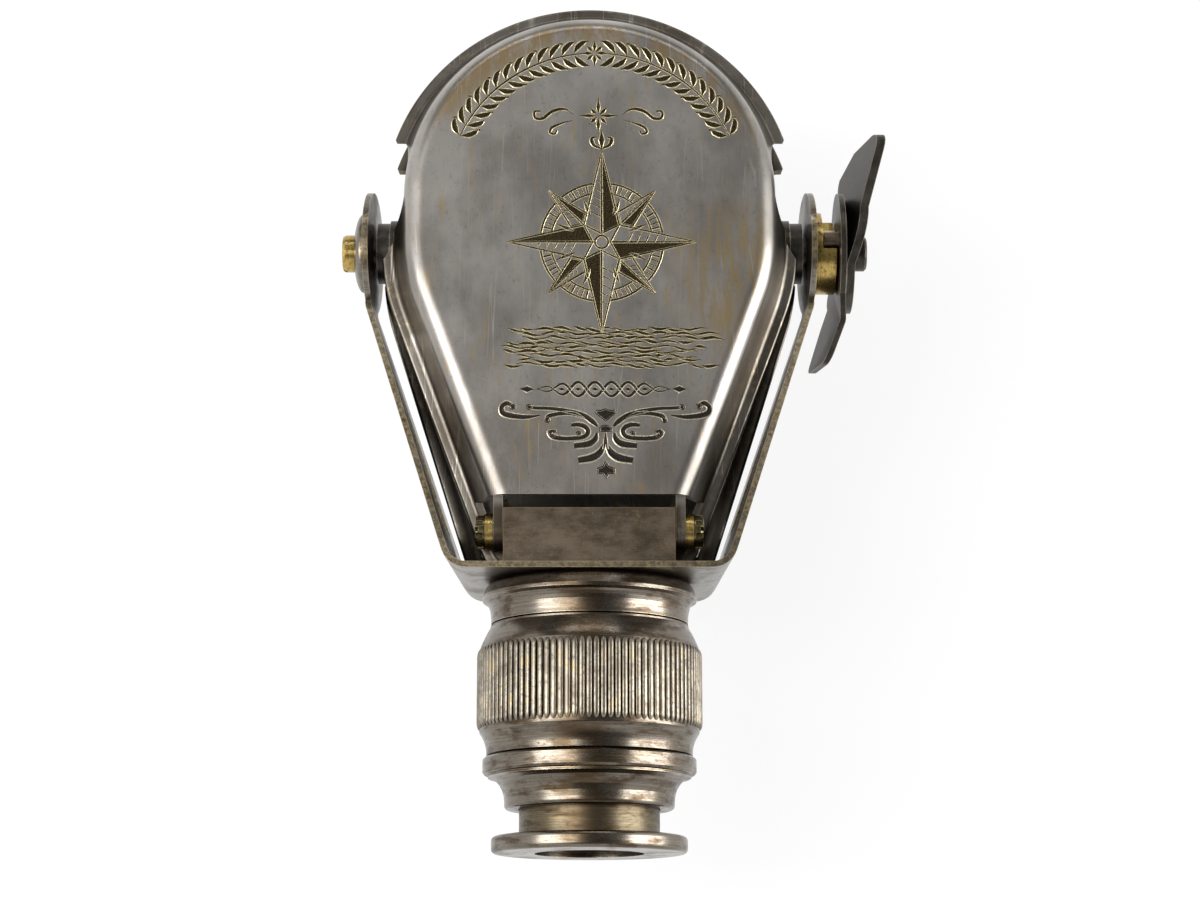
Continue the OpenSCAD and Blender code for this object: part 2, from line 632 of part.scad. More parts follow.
// A boss between the ring and an arm, with its threaded stud, on the right-hand side
module boss() {
    difference() {
        union() {
            bore_x(boss_r, ring_r - 2, boss_end - 2.4);
            bore_x(boss_r - 0.5, boss_end - 2.5, boss_end);
        }
        about_pivot() translate([0, 0, -20]) cylinder(r = ring_r + 0.05, h = 40, $fn = 128);
    }
    bore_x(2.2 - seat, ring_r - stud_in, ring_r + 1.5);
}
module left_trunnion() {
    color("#3f3a36")
    mirror([1, 0, 0]) difference() {
        union() {
            boss();
            bore_x(shaft_r, boss_end - 0.5, dome_x - 0.1);
        }
        bore_x(1.5 + seat, boss_end - 3, dome_x + over);
    }
}
module left_dome_washer() {
    dome_h = 2.1;
    color("#8a8072")
    mirror([1, 0, 0])
    turned_x(concat([[1.6, dome_x], [dome_r, dome_x], [dome_r, dome_x + 0.5]],
                    [for (i = [1:6]) let (a = 70 * i / 6) [dome_r - (dome_r - 3.4) * (1 - cos(a)) / (1 - cos(70)),
                        dome_x + 0.5 + (dome_h - 0.5) * sin(a) / sin(70)]],
                    [[1.6, dome_x + dome_h]]));
}
module left_trunnion_screw() {
    x0 = dome_x + 2.12;
    color("#c9a544")
    mirror([1, 0, 0]) difference() {
        union() {
            bore_x(1.5, boss_end - 2.8, x0 + 0.5);
            turned_x([[0, x0], [3.5, x0], [3.5, x0 + 1.7], [3.2, x0 + 2.2], [0, x0 + 2.3]]);
        }
        translate([x0 + 1.5, pivot_y - 5, -0.45]) cube([2, 10, 0.9]);
    }
}
module right_trunnion_shaft() {
    color("#3f3a36")
    union() {
        boss();
        turned_x([[0, boss_end - 0.5], [shaft_r, boss_end - 0.5], [shaft_r, shaft_end - 0.4],
                  [shaft_r - 0.4, shaft_end], [0, shaft_end]]);
    }
}
// Fixed on the right arm: the cut in its outer part lets the stop pin turn through a right angle
module detent_collar() {
    floor_x = disc_out + 0.4 * collar_t;
    half_play = asin((stop_pin_r + 0.06) / stop_pin_at);
    a0 = stop_angle - half_play;
    a1 = stop_angle + 90 + half_play;
    far = 2 * collar_r;
    color("#c9a544")
    difference() {
        turned_x([[shaft_r + run, disc_out - 1], [collar_brim_r, disc_out - 1], [collar_brim_r, disc_out + 0.8],
                  [collar_r, disc_out + 0.8], [collar_r, collar_end - 0.3], [collar_r - 0.3, collar_end],
                  [shaft_r + run, collar_end]]);
        translate([yoke_half_w, 0, 0]) rotate([0, arm_toe, 0])
            translate([disc_out - yoke_half_w - 20, pivot_y - 15, -20]) cube([20 + seat, 30, 40]);
        translate([floor_x, pivot_y, 0]) difference() {
            rotate([90, 0, 90]) linear_extrude(collar_t + over)
                polygon([[0, 0], far * [sin(a0), cos(a0)], far * [sin(a0 + 45), cos(a0 + 45)],
                         far * [sin(a1 - 45), cos(a1 - 45)], far * [sin(a1), cos(a1)]]);
            rotate([0, 90, 0]) translate([0, 0, -over]) cylinder(r = shaft_r + 1.1, h = collar_t + 3 * over);
        }
    }
}
module stop_pin() {
    color("#6b5a48")
    stop_pin_bore(stop_pin_r, disc_out + 0.4 * collar_t + 0.3, lower_x + lower_t - 0.05);
}
module stop_pin_bore(r, x0, x1) {
    bore_x(r, x0, x1, pivot_y + stop_pin_at * sin(stop_angle), stop_pin_at * cos(stop_angle));
}
// A lever plate: a strip seen from its edge, with the points [X, distance from the pivot], extruded
// along its fold, which is turned by an angle about the pivot
module folded(points, t, angle) {
    translate([0, pivot_y, 0]) rotate([angle, 0, 0]) translate([0, 0, -40]) linear_extrude(80) strip(points, t, fold_r);
}
// The YZ outline of the lower wing, about the pivot: a round hub with a tongue below
module lower_outline() {
    tip = 0.36 * lower_half_w;
    side = 0.85 * lower_half_w - tip;
    q = asin(lower_half_w / disc_r);
    polygon(concat(arc([0, 0], disc_r, 180 - q, -180 + q, 60), [[-0.6 * lever_down, -lower_half_w]],
                   arc([tip - lever_down, -side], tip, -95, -180, 5),
                   arc([tip - lever_down, side], tip, 180, 95, 5),
                   [[-0.6 * lever_down, lower_half_w]]));
}
module lower_lever() {
    out_x = lower_x + lower_t;
    reach = lever_down + 6;
    color("#5c5750")
    difference() {
        intersection() {
            folded([[out_x - (reach - lower_fold) * tan(lower_lean), -reach], [out_x, -lower_fold], [out_x, disc_r + 2]],
                   lower_t, lower_turn);
            translate([lower_x - 20, pivot_y, 0]) rotate([90, 0, 90]) linear_extrude(30) lower_outline();
        }
        bore_x(shaft_r + seat, lower_x - 20, out_x + over);
        stop_pin_bore(stop_pin_r + seat, lower_x - over, out_x + over);
    }
}
// The YZ outline of the thumb lever, about the pivot: a round hub with a broad wing above
module upper_outline() {
    near = lever_half_w;
    round_r = 0.4 * lever_half_w;
    polygon(concat(arc([0, 0], disc_r, asin(near / disc_r), 360 - asin(0.6 * near / disc_r), 60),
                   [[lever_up - 5, -0.65 * near], [lever_up - 1, -0.2 * near]],
                   arc([lever_up - round_r, near - round_r], round_r, 0, 90, 6)));
}
module thumb_lever() {
    out_x = lever_x + lever_t;
    reach = lever_up + 6;
    color("#5c5750")
    difference() {
        intersection() {
            folded([[out_x, -disc_r - 2], [out_x, upper_fold], [out_x + (reach - upper_fold) * tan(upper_lean), reach]],
                   lever_t, upper_turn);
            translate([lever_x - 1, pivot_y, 0]) rotate([90, 0, 90]) linear_extrude(30) upper_outline();
        }
        bore_x(shaft_r + seat, lever_x - over, out_x + 20);
    }
}

yoke();
hinge_block();  // front_hinge_block
at_rear() hinge_block();  // rear_hinge_block
hinge_screws();  // front_hinge_screws
at_rear() hinge_screws();  // rear_hinge_screws
hinge_washers();  // front_hinge_washers
at_rear() hinge_washers();  // rear_hinge_washers
eyepiece_flange();
flange_screws();
inner_barrel();
end_collar();
color("#9b948a") cover(0);  // front_cover
color("#8f887d") at_rear() cover(rear_extra);  // rear_cover
objective_ring();
objective_lens();
lens_retaining_ring();
left_trunnion();
left_dome_washer();
left_trunnion_screw();
right_trunnion_shaft();
detent_collar();
stop_pin();
lower_lever();
thumb_lever();
focus_ring();
focus_sleeve();
eyepiece_tube();
eyecup();
eye_lens();
eye_lens_retainer();
guide_pin();
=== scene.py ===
"""A folding pocket spyglass, closed and lying on its rear cover. Metres, +Y along the optical axis."""

import math

import bmesh
import bpy
import numpy as np
from mathutils import Matrix, Vector


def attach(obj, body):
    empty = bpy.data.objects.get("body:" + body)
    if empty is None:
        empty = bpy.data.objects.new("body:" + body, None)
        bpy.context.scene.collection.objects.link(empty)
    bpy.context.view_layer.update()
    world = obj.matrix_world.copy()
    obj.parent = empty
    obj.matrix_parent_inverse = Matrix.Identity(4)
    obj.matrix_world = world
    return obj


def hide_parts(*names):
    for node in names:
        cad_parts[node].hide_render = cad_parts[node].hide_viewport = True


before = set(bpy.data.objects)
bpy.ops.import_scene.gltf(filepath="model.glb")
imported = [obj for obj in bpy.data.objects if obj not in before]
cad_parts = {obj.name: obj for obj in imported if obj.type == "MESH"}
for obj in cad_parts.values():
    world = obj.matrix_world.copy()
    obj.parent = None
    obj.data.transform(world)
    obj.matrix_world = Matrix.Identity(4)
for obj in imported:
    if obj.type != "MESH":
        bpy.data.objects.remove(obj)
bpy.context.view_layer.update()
MM = 0.001

# Sizes of the covers, in millimetres: the hinge's axis, the sheet, the face and its outline
HINGE_Y = 56.3
HINGE_Z = 13.0
COVER_T = 1.1
COVER_FACE = 17.5
COVER_R = 34.2
COVER_TOP = 119.2
COVER_DROP = 8.2
COVER_FOOT = 62.4
BEND_R = 3.6
COVER_DEPTH = 9.6
SIDE_FLARE = 1.9
LIP_W = 2.4
FILLET_R = 1.15
# The rear cover is this much wider, and wider again at its foot
REAR_EXTRA = 0.9
REAR_FOOT = 2.3
# The notch for the pivot, and where the lip ends
NOTCH_R = 9.4
NOTCH_Y = COVER_TOP + 3.2
LIP_FOOT = 4.6
LIP_CUT_R = 24.5
LIP_CUT_Y = COVER_TOP + 2.6
# The ears on both sides of the hinge block
BLOCK_HALF_W = 15.3
EAR_T = 1.7
EAR_R = 3.6
EAR_X = BLOCK_HALF_W + 0.15
EAR_TOP = COVER_FACE - 1.1
# Beyond the covers on every side
CLEAR = 40

# Sizes of the focus ring
FOCUS_Y = 17.25
FOCUS_LEN = 23.8
KNURL_Y = 22.15
KNURL_LEN = 14.4
KNURL_ROOT = 20.08
KNURL_H = 0.42
KNURL_COUNT = 100
SLEEVE_R = 16.98
SLEEVE_STOP = 3.8
BARREL_R = 15.06
COVE_R = 18.7
COVE_START = 0.75
COVE_LEN = 3.55
NECK_R = 18.0


class Wire:
    """One output of a node. Sums and products of wires and numbers add Math nodes."""

    def __init__(self, owner, socket):
        self.owner = owner
        self.socket = socket

    def math(self, operation, *values, clamp=False):
        settings = {"operation": operation, "use_clamp": clamp}
        return self.owner.node("ShaderNodeMath", settings, dict(enumerate(values)))

    def __add__(self, other):
        return self.math("ADD", self, other)

    __radd__ = __add__

    def __sub__(self, other):
        return self.math("SUBTRACT", self, other)

    def __rsub__(self, other):
        return self.math("SUBTRACT", other, self)

    def __mul__(self, other):
        return self.math("MULTIPLY", self, other)

    __rmul__ = __mul__

    def __pow__(self, other):
        return self.math("POWER", self, other)

    def size(self):
        return self.math("ABSOLUTE", self)

    def clamp(self):
        return self.math("ADD", self, 0.0, clamp=True)


class Nodes:
    """A node tree in the making."""

    def __init__(self, tree):
        self.tree = tree

    def feed(self, socket, value):
        """Joins a wire to a socket, or sets the socket's value."""
        if isinstance(value, Wire):
            self.tree.links.new(value.socket, socket)
        elif hasattr(socket.default_value, "__len__"):
            size = len(socket.default_value)
            socket.default_value = tuple(value) + (1.0,) * (size - len(value))
        else:
            socket.default_value = value

    def node(self, kind, settings=None, inputs=None, out=0):
        """A new node, with its settings and the values or wires of its sockets. Gives one output."""
        made = self.tree.nodes.new(kind)
        for key, value in (settings or {}).items():
            setattr(made, key, value)
        for key, value in (inputs or {}).items():
            self.feed(made.inputs[key], value)
        return Wire(self, made.outputs[out]) if made.outputs else None

    def seen(self):
        """1 for the rays that show white: straight from the camera, mirrored, or through glass."""
        rays = [self.node("ShaderNodeLightPath", out=ray)
                for ray in ("Is Camera Ray", "Is Glossy Ray", "Is Transmission Ray")]
        return (rays[0] + rays[1] + rays[2]).clamp()


class Finish(Nodes):
    """A material in the making."""

    def __init__(self, name):
        self.material = bpy.data.materials.new(name)
        self.material.use_nodes = True
        super().__init__(self.material.node_tree)
        self.tree.nodes.clear()

    def place(self, stretch=(1, 1, 1), turn=(0, 0, 0)):
        """Object coordinates in units of a millimetre, stretched."""
        spot = self.node("ShaderNodeTexCoord", out="Object")
        scale = tuple(1 / (MM * s) for s in stretch)
        inputs = {"Vector": spot, "Scale": scale, "Rotation": turn}
        return self.node("ShaderNodeMapping", {"vector_type": "POINT"}, inputs)

    def axes(self, vector=None, unit=MM):
        """The three parts of a vector, from Object coordinates in millimetres where none is given."""
        whole = {"Vector": vector or self.node("ShaderNodeTexCoord", out="Object")}
        return [self.node("ShaderNodeSeparateXYZ", None, whole, part) * (1 / unit) for part in "XYZ"]

    def noise(self, size, stretch=(1, 1, 1), detail=3.0, rough=0.6):
        where = self.place(tuple(size * s for s in stretch))
        inputs = {"Vector": where, "Scale": 1.0, "Detail": detail, "Roughness": rough}
        return self.node("ShaderNodeTexNoise", None, inputs)

    def band(self, value, low, high):
        """0 below low, 1 above high, smooth between."""
        return self.node("ShaderNodeMapRange", {"interpolation_type": "SMOOTHSTEP"},
                         {"Value": value, "From Min": low, "From Max": high, "To Min": 0.0, "To Max": 1.0})

    def blend(self, factor, a, b):
        """Colour a where the factor is 0, colour b where it is 1."""
        # A Mix node for colours has its own three inputs and its own output after those for other types
        return self.node("ShaderNodeMix", {"data_type": "RGBA"}, {0: factor, 6: a, 7: b}, out=2)

    def worn_edge(self, radius, low=0.04, high=0.35):
        """1 on sharp outer edges, 0 on flat faces."""
        soft = self.node("ShaderNodeBevel", {"samples": 6}, {"Radius": radius * MM})
        sharp = self.node("ShaderNodeNewGeometry", out="Normal")
        product = {"operation": "DOT_PRODUCT"}
        dot = self.node("ShaderNodeVectorMath", product, {0: soft, 1: sharp}, out="Value")
        return self.band(1.0 - dot, low, high)

    def hollow(self, distance):
        """1 in corners and under other pieces, 0 in the open."""
        reach = {"Distance": distance * MM}
        return 1.0 - self.node("ShaderNodeAmbientOcclusion", {"samples": 8}, reach, out="AO")

    def facing_front(self):
        """1 where the surface faces straight out of the front or the back, 0 on the sides."""
        normal = self.axes(self.node("ShaderNodeNewGeometry", out="True Normal"), 1)
        return self.band(normal[2].size(), 0.80, 0.96)

    def scratches(self, size, turn, width):
        """Fine straight scratches, broken up along their length."""
        where = self.place((size, size * 30, size * 30), (0, 0, turn))
        feature = {"feature": "DISTANCE_TO_EDGE"}
        cells = self.node("ShaderNodeTexVoronoi", feature, {"Vector": where, "Scale": 1.0})
        broken = self.noise(size * 2.5, (1, 1, 1), 2.0, 0.5)
        return (1.0 - self.band(cells, 0.0, width)) * self.band(broken, 0.50, 0.62)

    def bump(self, height, strength, distance):
        inputs = {"Height": height, "Strength": strength, "Distance": distance * MM}
        return self.node("ShaderNodeBump", None, inputs)

    def surface(self, shader):
        """The finished material, with this shader."""
        self.node("ShaderNodeOutputMaterial", None, {"Surface": shader})
        return self.material

    def metal(self, colour, roughness, normal):
        inputs = {"Base Color": colour, "Roughness": roughness, "Metallic": 1.0, "Normal": normal}
        return self.surface(self.node("ShaderNodeBsdfPrincipled", None, inputs))


# Finishes


def turned_nickel(name, dull, clean, patina, gilt, shine):
    """Worn plate on turned pieces: fine lathe lines, patina in patches and hollows, rings of bare brass, and
    a painted dark reflection along the crown.
    """
    f = Finish(name)
    lines = f.noise(0.15, (60, 1, 60), 4.0, 0.7)
    rings = f.noise(0.55, (26, 1, 26), 4.0, 0.7)
    smear = f.noise(4.2, (1.5, 0.45, 1.5), 5.0, 0.65)
    spots = f.noise(0.55, (1.3, 1, 1.3), 5.0, 0.75)
    brown = f.band(smear, 0.45, 0.64) * 0.80 + f.band(spots, 0.55, 0.70) * 0.60 + f.hollow(1.6) * 0.9
    brown = brown.clamp()
    plate = f.blend(f.band(lines, 0.35, 0.65), dull, clean)
    ringed = f.blend(f.band(rings, 0.55, 0.70) * f.band(smear, 0.40, 0.60) * 0.8, plate, gilt)
    aged = f.blend(brown, ringed, patina)
    # A painted dark brown reflection along the crown of the outer surfaces, on the +Z side, a little to the
    # left of the middle
    x, y, z = f.axes()
    x = x + 1.5
    reach = x * x + z * z
    crown_reflection = f.band(z.math("DIVIDE", z * z, reach), 0.90, 0.992)
    crown_reflection = crown_reflection * f.band(reach, 121.0, 154.0) * f.band(y, 0.3, 1.0)
    stained = f.blend(crown_reflection * f.band(smear, 0.26, 0.50) * 0.80, aged, (0.088, 0.060, 0.034))
    flecked = f.blend(f.band(spots, 0.24, 0.34), gilt, stained)
    colour = f.blend(f.worn_edge(0.30, 0.03, 0.28) * 0.8, flecked, (0.62, 0.52, 0.36))
    roughness = shine + 0.10 * spots + 0.12 * brown
    normal = f.bump(lines * 0.6 + spots * 0.7 + rings * 0.4, 0.30, 0.02)
    return f.metal(colour, roughness, normal)


def knurl_nickel():
    """The grip: worn pale on its ridges, dark in its grooves."""
    f = Finish("knurl_nickel")
    spots = f.noise(0.6, (1, 1, 1), 5.0, 0.75)
    smear = f.noise(3.2, (1, 1, 1), 4.0, 0.65)
    groove = f.hollow(0.9)
    pale = f.blend(f.band(smear, 0.38, 0.64), (0.205, 0.175, 0.135), (0.33, 0.30, 0.25))
    pale = f.blend(f.band(spots, 0.48, 0.66) * 0.8, pale, (0.105, 0.078, 0.045))
    pale = f.blend(f.band(smear, 0.54, 0.66) * 0.6, pale, (0.36, 0.27, 0.13))
    colour = f.blend(f.band(groove, 0.10, 0.50), pale, (0.035, 0.026, 0.016))
    colour = f.blend(f.worn_edge(0.14, 0.02, 0.18) * 0.7, colour, (0.66, 0.60, 0.48))
    return f.metal(colour, 0.27 + 0.2 * spots, f.bump(spots, 0.30, 0.03))


def sheet_nickel():
    """The bent yoke: grey-brown nickel, brass showing on the cut edges of the sheet."""
    f = Finish("sheet_nickel")
    brush = f.noise(0.2, (40, 60, 1), 4.0, 0.7)
    smear = f.noise(6.0, (1, 1.4, 1), 5.0, 0.65)
    spots = f.noise(0.8, (1, 1, 1), 5.0, 0.75)
    brown = f.band(smear, 0.46, 0.66) * 0.8 + f.band(spots, 0.58, 0.72) * 0.5 + f.hollow(2.0) * 0.6
    brown = brown.clamp()
    plate = f.blend(f.band(brush, 0.35, 0.65), (0.165, 0.150, 0.130), (0.255, 0.235, 0.205))
    aged = f.blend(brown, plate, (0.085, 0.060, 0.036))
    gilt = f.blend(f.band(spots, 0.38, 0.60), (0.48, 0.375, 0.195), (0.11, 0.08, 0.045))
    edged = f.blend(f.facing_front() * 0.55, aged, gilt)
    colour = f.blend(f.worn_edge(0.35) * 0.9, edged, (0.68, 0.55, 0.33))
    normal = f.bump(brush * 0.5 + spots * 0.8, 0.28, 0.02)
    return f.metal(colour, 0.23 + 0.16 * spots + 0.1 * brown, normal)


def cover_nickel():
    """Cover plate: a worn grey face with scratches, a warm stain near its rim, and dark brown sides, patina
    and painted shade.
    """
    f = Finish("cover_nickel")
    brush = f.noise(0.14, (1, 34, 6), 4.0, 0.75)
    cloud = f.noise(15.0, (1, 1.5, 1), 4.0, 0.6)
    smear = f.noise(4.0, (1, 2.6, 1), 5.0, 0.7)
    streak = f.noise(1.1, (1, 9, 3), 4.0, 0.7)
    pores = f.noise(0.42, (1, 1, 1), 4.0, 0.7)
    scratch = f.scratches(3.4, 1.50, 0.012) + f.scratches(4.6, 1.12, 0.010) + f.scratches(5.2, -0.42, 0.010)
    scratch = scratch.clamp()
    speck = f.noise(0.9, (1, 1.6, 1), 5.0, 0.8)
    edge_wear = f.noise(1.8, (1, 1, 0.5), 5.0, 0.7)
    x, y, z = f.axes()
    # The rear cover is the front one's mirror image
    height = z.size()
    on_face = f.band(height, COVER_FACE - 0.5, COVER_FACE - 0.05)
    reach = (x * x + (y - COVER_TOP) * (y - COVER_TOP)) ** 0.5
    near_rim = f.band(reach, 25.0, 30.5) * f.band(y, COVER_TOP + 6, COVER_TOP + 20)
    rim_stain = near_rim * f.band(smear, 0.36, 0.58) * on_face
    grey = f.blend(f.band(cloud, 0.32, 0.68), (0.245, 0.228, 0.206), (0.440, 0.415, 0.385))
    grey = f.blend(f.band(brush, 0.30, 0.72) * 0.25, grey, (0.43, 0.40, 0.365))
    grey = f.blend(f.band(speck, 0.54, 0.68) * 0.40, grey, (0.155, 0.135, 0.110))
    rubbed = f.band(x, 12.0, 25.0) * f.band(y, 84.0, 98.0) * (1.0 - f.band(y, 106.0, 120.0)) * on_face
    worn_brass = f.band(streak, 0.52, 0.70) * f.band(smear, 0.46, 0.62)
    worn_brass = (worn_brass + rubbed * f.band(streak, 0.38, 0.56)).clamp()
    warm = f.blend(worn_brass * 0.80, grey, (0.42, 0.31, 0.15))
    stained = f.blend(rim_stain * 0.8, warm, (0.30, 0.205, 0.085))
    low_half = 1.0 - f.band(y, HINGE_Y + 4, HINGE_Y + 46)
    ears = 1.0 - f.band(y, HINGE_Y + 3.6, HINGE_Y + 5.4)
    dirt = ears * 0.5 + f.hollow(2.2) * 0.85 + f.band(pores, 0.62, 0.74) * 0.5
    dirt = (dirt + low_half * 0.42 * f.band(smear, 0.25, 0.55)).clamp()
    aged = f.blend(dirt, stained, (0.070, 0.052, 0.034))
    # The side walls and lips below the face are dark brown: patina and painted shade, with streaks of worn
    # brass
    side = f.blend(f.band(edge_wear, 0.52, 0.68) * 0.65, (0.088, 0.073, 0.054), (0.30, 0.225, 0.115))
    side = f.blend(f.band(cloud, 0.42, 0.62) * 0.55, side, (0.19, 0.174, 0.152))
    colour = f.blend((1.0 - f.band(height, COVER_FACE - 5.4, COVER_FACE - 2.6)) * 0.85, aged, side)
    colour = f.blend(scratch * 0.6, colour, (0.50, 0.46, 0.40))
    colour = f.blend(f.worn_edge(0.3) * 0.75, colour, (0.60, 0.54, 0.42))
    normal = f.bump(brush * on_face * 0.5 + pores * 0.4 - scratch * 0.6, 0.20, 0.02)
    return f.metal(colour, 0.27 + 0.12 * smear + 0.10 * dirt, normal)


def brown_brass():
    """Hinge blocks: brass under a brown patina, finely pitted."""
    f = Finish("brown_brass")
    brush = f.noise(0.15, (30, 1, 6), 4.0, 0.7)
    smear = f.noise(5.0, (1.6, 1, 1), 5.0, 0.7)
    spots = f.noise(0.40, (1, 1, 1), 4.0, 0.75)
    patch = f.noise(2.6, (1, 1, 1), 5.0, 0.75)
    brown = f.blend(f.band(smear, 0.34, 0.66), (0.072, 0.054, 0.036), (0.158, 0.126, 0.090))
    brown = f.blend(f.band(brush, 0.35, 0.7) * 0.22, brown, (0.22, 0.18, 0.14))
    brown = f.blend(f.band(patch, 0.56, 0.70) * 0.5, brown, (0.24, 0.17, 0.085))
    flecked = f.blend(f.band(spots, 0.59, 0.71) * 0.6, brown, (0.42, 0.30, 0.135))
    flecked = f.blend((1.0 - f.band(spots, 0.30, 0.40)) * 0.7, flecked, (0.040, 0.030, 0.020))
    colour = f.blend(f.worn_edge(0.30) * 0.8, flecked, (0.46, 0.34, 0.18))
    return f.metal(colour, 0.32 + 0.15 * smear, f.bump(brush * 0.3 + spots, 0.25, 0.02))


def bright_brass():
    """Screws, washers and the collar: worn bright, dark in the corners."""
    f = Finish("bright_brass")
    spots = f.noise(0.9, (1, 1, 1), 4.0, 0.65)
    lines = f.noise(0.12, (1, 30, 30), 3.0, 0.7)
    dirt = (f.hollow(1.3) * 1.2 + f.band(spots, 0.50, 0.66) * 0.7).clamp()
    gold = f.blend(f.band(lines, 0.35, 0.65), (0.40, 0.275, 0.075), (0.60, 0.44, 0.15))
    colour = f.blend(dirt, gold, (0.13, 0.08, 0.03))
    colour = f.blend(f.worn_edge(0.2) * 0.6, colour, (0.86, 0.68, 0.34))
    return f.metal(colour, 0.20 + 0.18 * spots, f.bump(lines + spots * 0.7, 0.2, 0.02))


def olive_bronze():
    """Hinge screws: bronze gone dark and olive, bright where it is rubbed."""
    f = Finish("olive_bronze")
    spots = f.noise(0.8, (1, 1, 1), 4.0, 0.7)
    olive = f.blend(f.band(spots, 0.40, 0.62), (0.150, 0.122, 0.055), (0.075, 0.060, 0.032))
    olive = f.blend((f.hollow(0.8) * 1.2).clamp(), olive, (0.030, 0.022, 0.012))
    colour = f.blend(f.worn_edge(0.22, 0.02, 0.22) * 0.9, olive, (0.66, 0.52, 0.26))
    return f.metal(colour, 0.22 + 0.16 * spots, f.bump(spots, 0.2, 0.02))


def dark_steel():
    """Levers, bosses and shafts: blackened steel, worn at the edges."""
    f = Finish("dark_steel")
    brush = f.noise(0.25, (1, 14, 3), 4.0, 0.7)
    smear = f.noise(3.5, (1, 1, 1), 4.0, 0.6)
    grey = f.blend(f.band(smear, 0.36, 0.68), (0.040, 0.036, 0.031), (0.080, 0.072, 0.062))
    grey = f.blend(f.band(brush, 0.45, 0.75) * 0.35, grey, (0.14, 0.125, 0.11))
    colour = f.blend(f.worn_edge(0.32, 0.03, 0.24) * 0.9, grey, (0.50, 0.43, 0.33))
    return f.metal(colour, 0.30 + 0.2 * smear, f.bump(brush + smear, 0.2, 0.02))


def clear_glass():
    """Lenses: plain glass with a faint green cast."""
    f = Finish("clear_glass")
    inputs = {"Base Color": (0.97, 1.0, 0.99), "Roughness": 0.0, "IOR": 1.5, "Transmission Weight": 1.0}
    return f.surface(f.node("ShaderNodeBsdfPrincipled", None, inputs))


def cut_line(name, deep, burr, mid):
    """An engraved line, dark in its middle, with a bright burr. The UV map runs across each stroke."""
    f = Finish(name)
    across = f.axes(f.node("ShaderNodeUVMap", {"uv_map": "across"}), 1)
    side = (across[0] - 0.5).size() * 2.0
    grain = f.noise(0.25, (1, 1, 1), 3.0, 0.6)
    floor = f.blend(f.band(grain, 0.35, 0.68), deep, mid)
    edge = f.band(side, 0.60, 0.78)
    colour = f.blend(edge * f.band(grain, 0.25, 0.50), floor, burr)
    return f.metal(colour, 0.33 + 0.15 * grain, f.bump(grain, 0.4, 0.03))


FINISHES = {
    "turned": turned_nickel("turned_nickel", (0.132, 0.112, 0.088), (0.226, 0.200, 0.166),
                            (0.056, 0.034, 0.019), (0.42, 0.33, 0.18), 0.195),
    "tube": turned_nickel("tube_nickel", (0.092, 0.073, 0.046), (0.150, 0.122, 0.080),
                          (0.046, 0.031, 0.017), (0.30, 0.22, 0.09), 0.30),
    "sheet": sheet_nickel(),
    "cover": cover_nickel(),
    "brown": brown_brass(),
    "bright": bright_brass(),
    "bronze": olive_bronze(),
    "steel": dark_steel(),
    "glass": clear_glass(),
    "knurl": knurl_nickel(),
    "gilt_cut": cut_line("gilt_cut", (0.018, 0.014, 0.009), (0.82, 0.72, 0.46), (0.085, 0.064, 0.030)),
    "grey_cut": cut_line("grey_cut", (0.022, 0.020, 0.017), (0.62, 0.55, 0.42), (0.055, 0.049, 0.041)),
}
# Finishes of the imported solids, by the names of their nodes
NODES_WITH = {
    "sheet": ("yoke", "left_dome_washer"),
    "brown": ("front_hinge_block", "rear_hinge_block", "stop_pin", "focus_sleeve"),
    "bronze": ("front_hinge_screws", "rear_hinge_screws"),
    "bright": ("front_hinge_washers", "rear_hinge_washers", "left_trunnion_screw", "detent_collar",
               "guide_pin"),
    "turned": ("eyepiece_flange", "inner_barrel", "end_collar", "objective_ring", "eyecup"),
    "tube": ("eyepiece_tube",),
    "steel": ("flange_screws", "lens_retaining_ring", "left_trunnion", "right_trunnion_shaft",
              "lower_lever", "thumb_lever", "eye_lens_retainer"),
    "glass": ("objective_lens", "eye_lens"),
}
for finish_name, node_names in NODES_WITH.items():
    for node_name in node_names:
        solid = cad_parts[node_name]
        solid.data.materials.clear()
        solid.data.materials.append(FINISHES[finish_name])


# Pieces


def linked(name, data):
    """A new object in the scene."""
    made = bpy.data.objects.new(name, data)
    bpy.context.scene.collection.objects.link(made)
    return made


def piece(name, mesh, finish, body, *stands_for):
    """A finished piece: an object at the origin that rides on a body."""
    made = linked(name, mesh)
    mesh.materials.clear()
    mesh.materials.append(FINISHES[finish])
    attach(made, body)
    if stands_for:
        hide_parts(*stands_for)


def mesh_of(name, points, faces):
    """A mesh from points in millimetres."""
    mesh = bpy.data.meshes.new(name)
    mesh.from_pydata([tuple(c * MM for c in p) for p in points], [], faces)
    mesh.update()
    return mesh


def applied(base, name):
    """The mesh of an object with its modifiers, as a plain mesh."""
    bpy.context.view_layer.update()
    graph = bpy.context.evaluated_depsgraph_get()
    mesh = bpy.data.meshes.new_from_object(base.evaluated_get(graph))
    mesh.name = name
    bpy.data.objects.remove(base)
    return mesh


def outward(mesh, weld=0.0):
    """Turns the faces outwards. Points closer than weld, in metres, become one."""
    work = bmesh.new()
    work.from_mesh(mesh)
    if weld:
        bmesh.ops.remove_doubles(work, verts=work.verts, dist=weld)
    bmesh.ops.recalc_face_normals(work, faces=work.faces)
    work.to_mesh(mesh)
    work.free()
    return mesh


def shaded(mesh, angle):
    """Smooth where the surface turns by less than this angle, in degrees."""
    mesh.shade_smooth()
    mesh.set_sharp_from_angle(angle=math.radians(angle))
    return mesh


def arc(centre, radius, start, end, steps):
    """Points of an arc, with angles in degrees."""
    angles = np.radians(np.linspace(start, end, steps + 1))
    return [(centre[0] + radius * math.cos(a), centre[1] + radius * math.sin(a)) for a in angles]


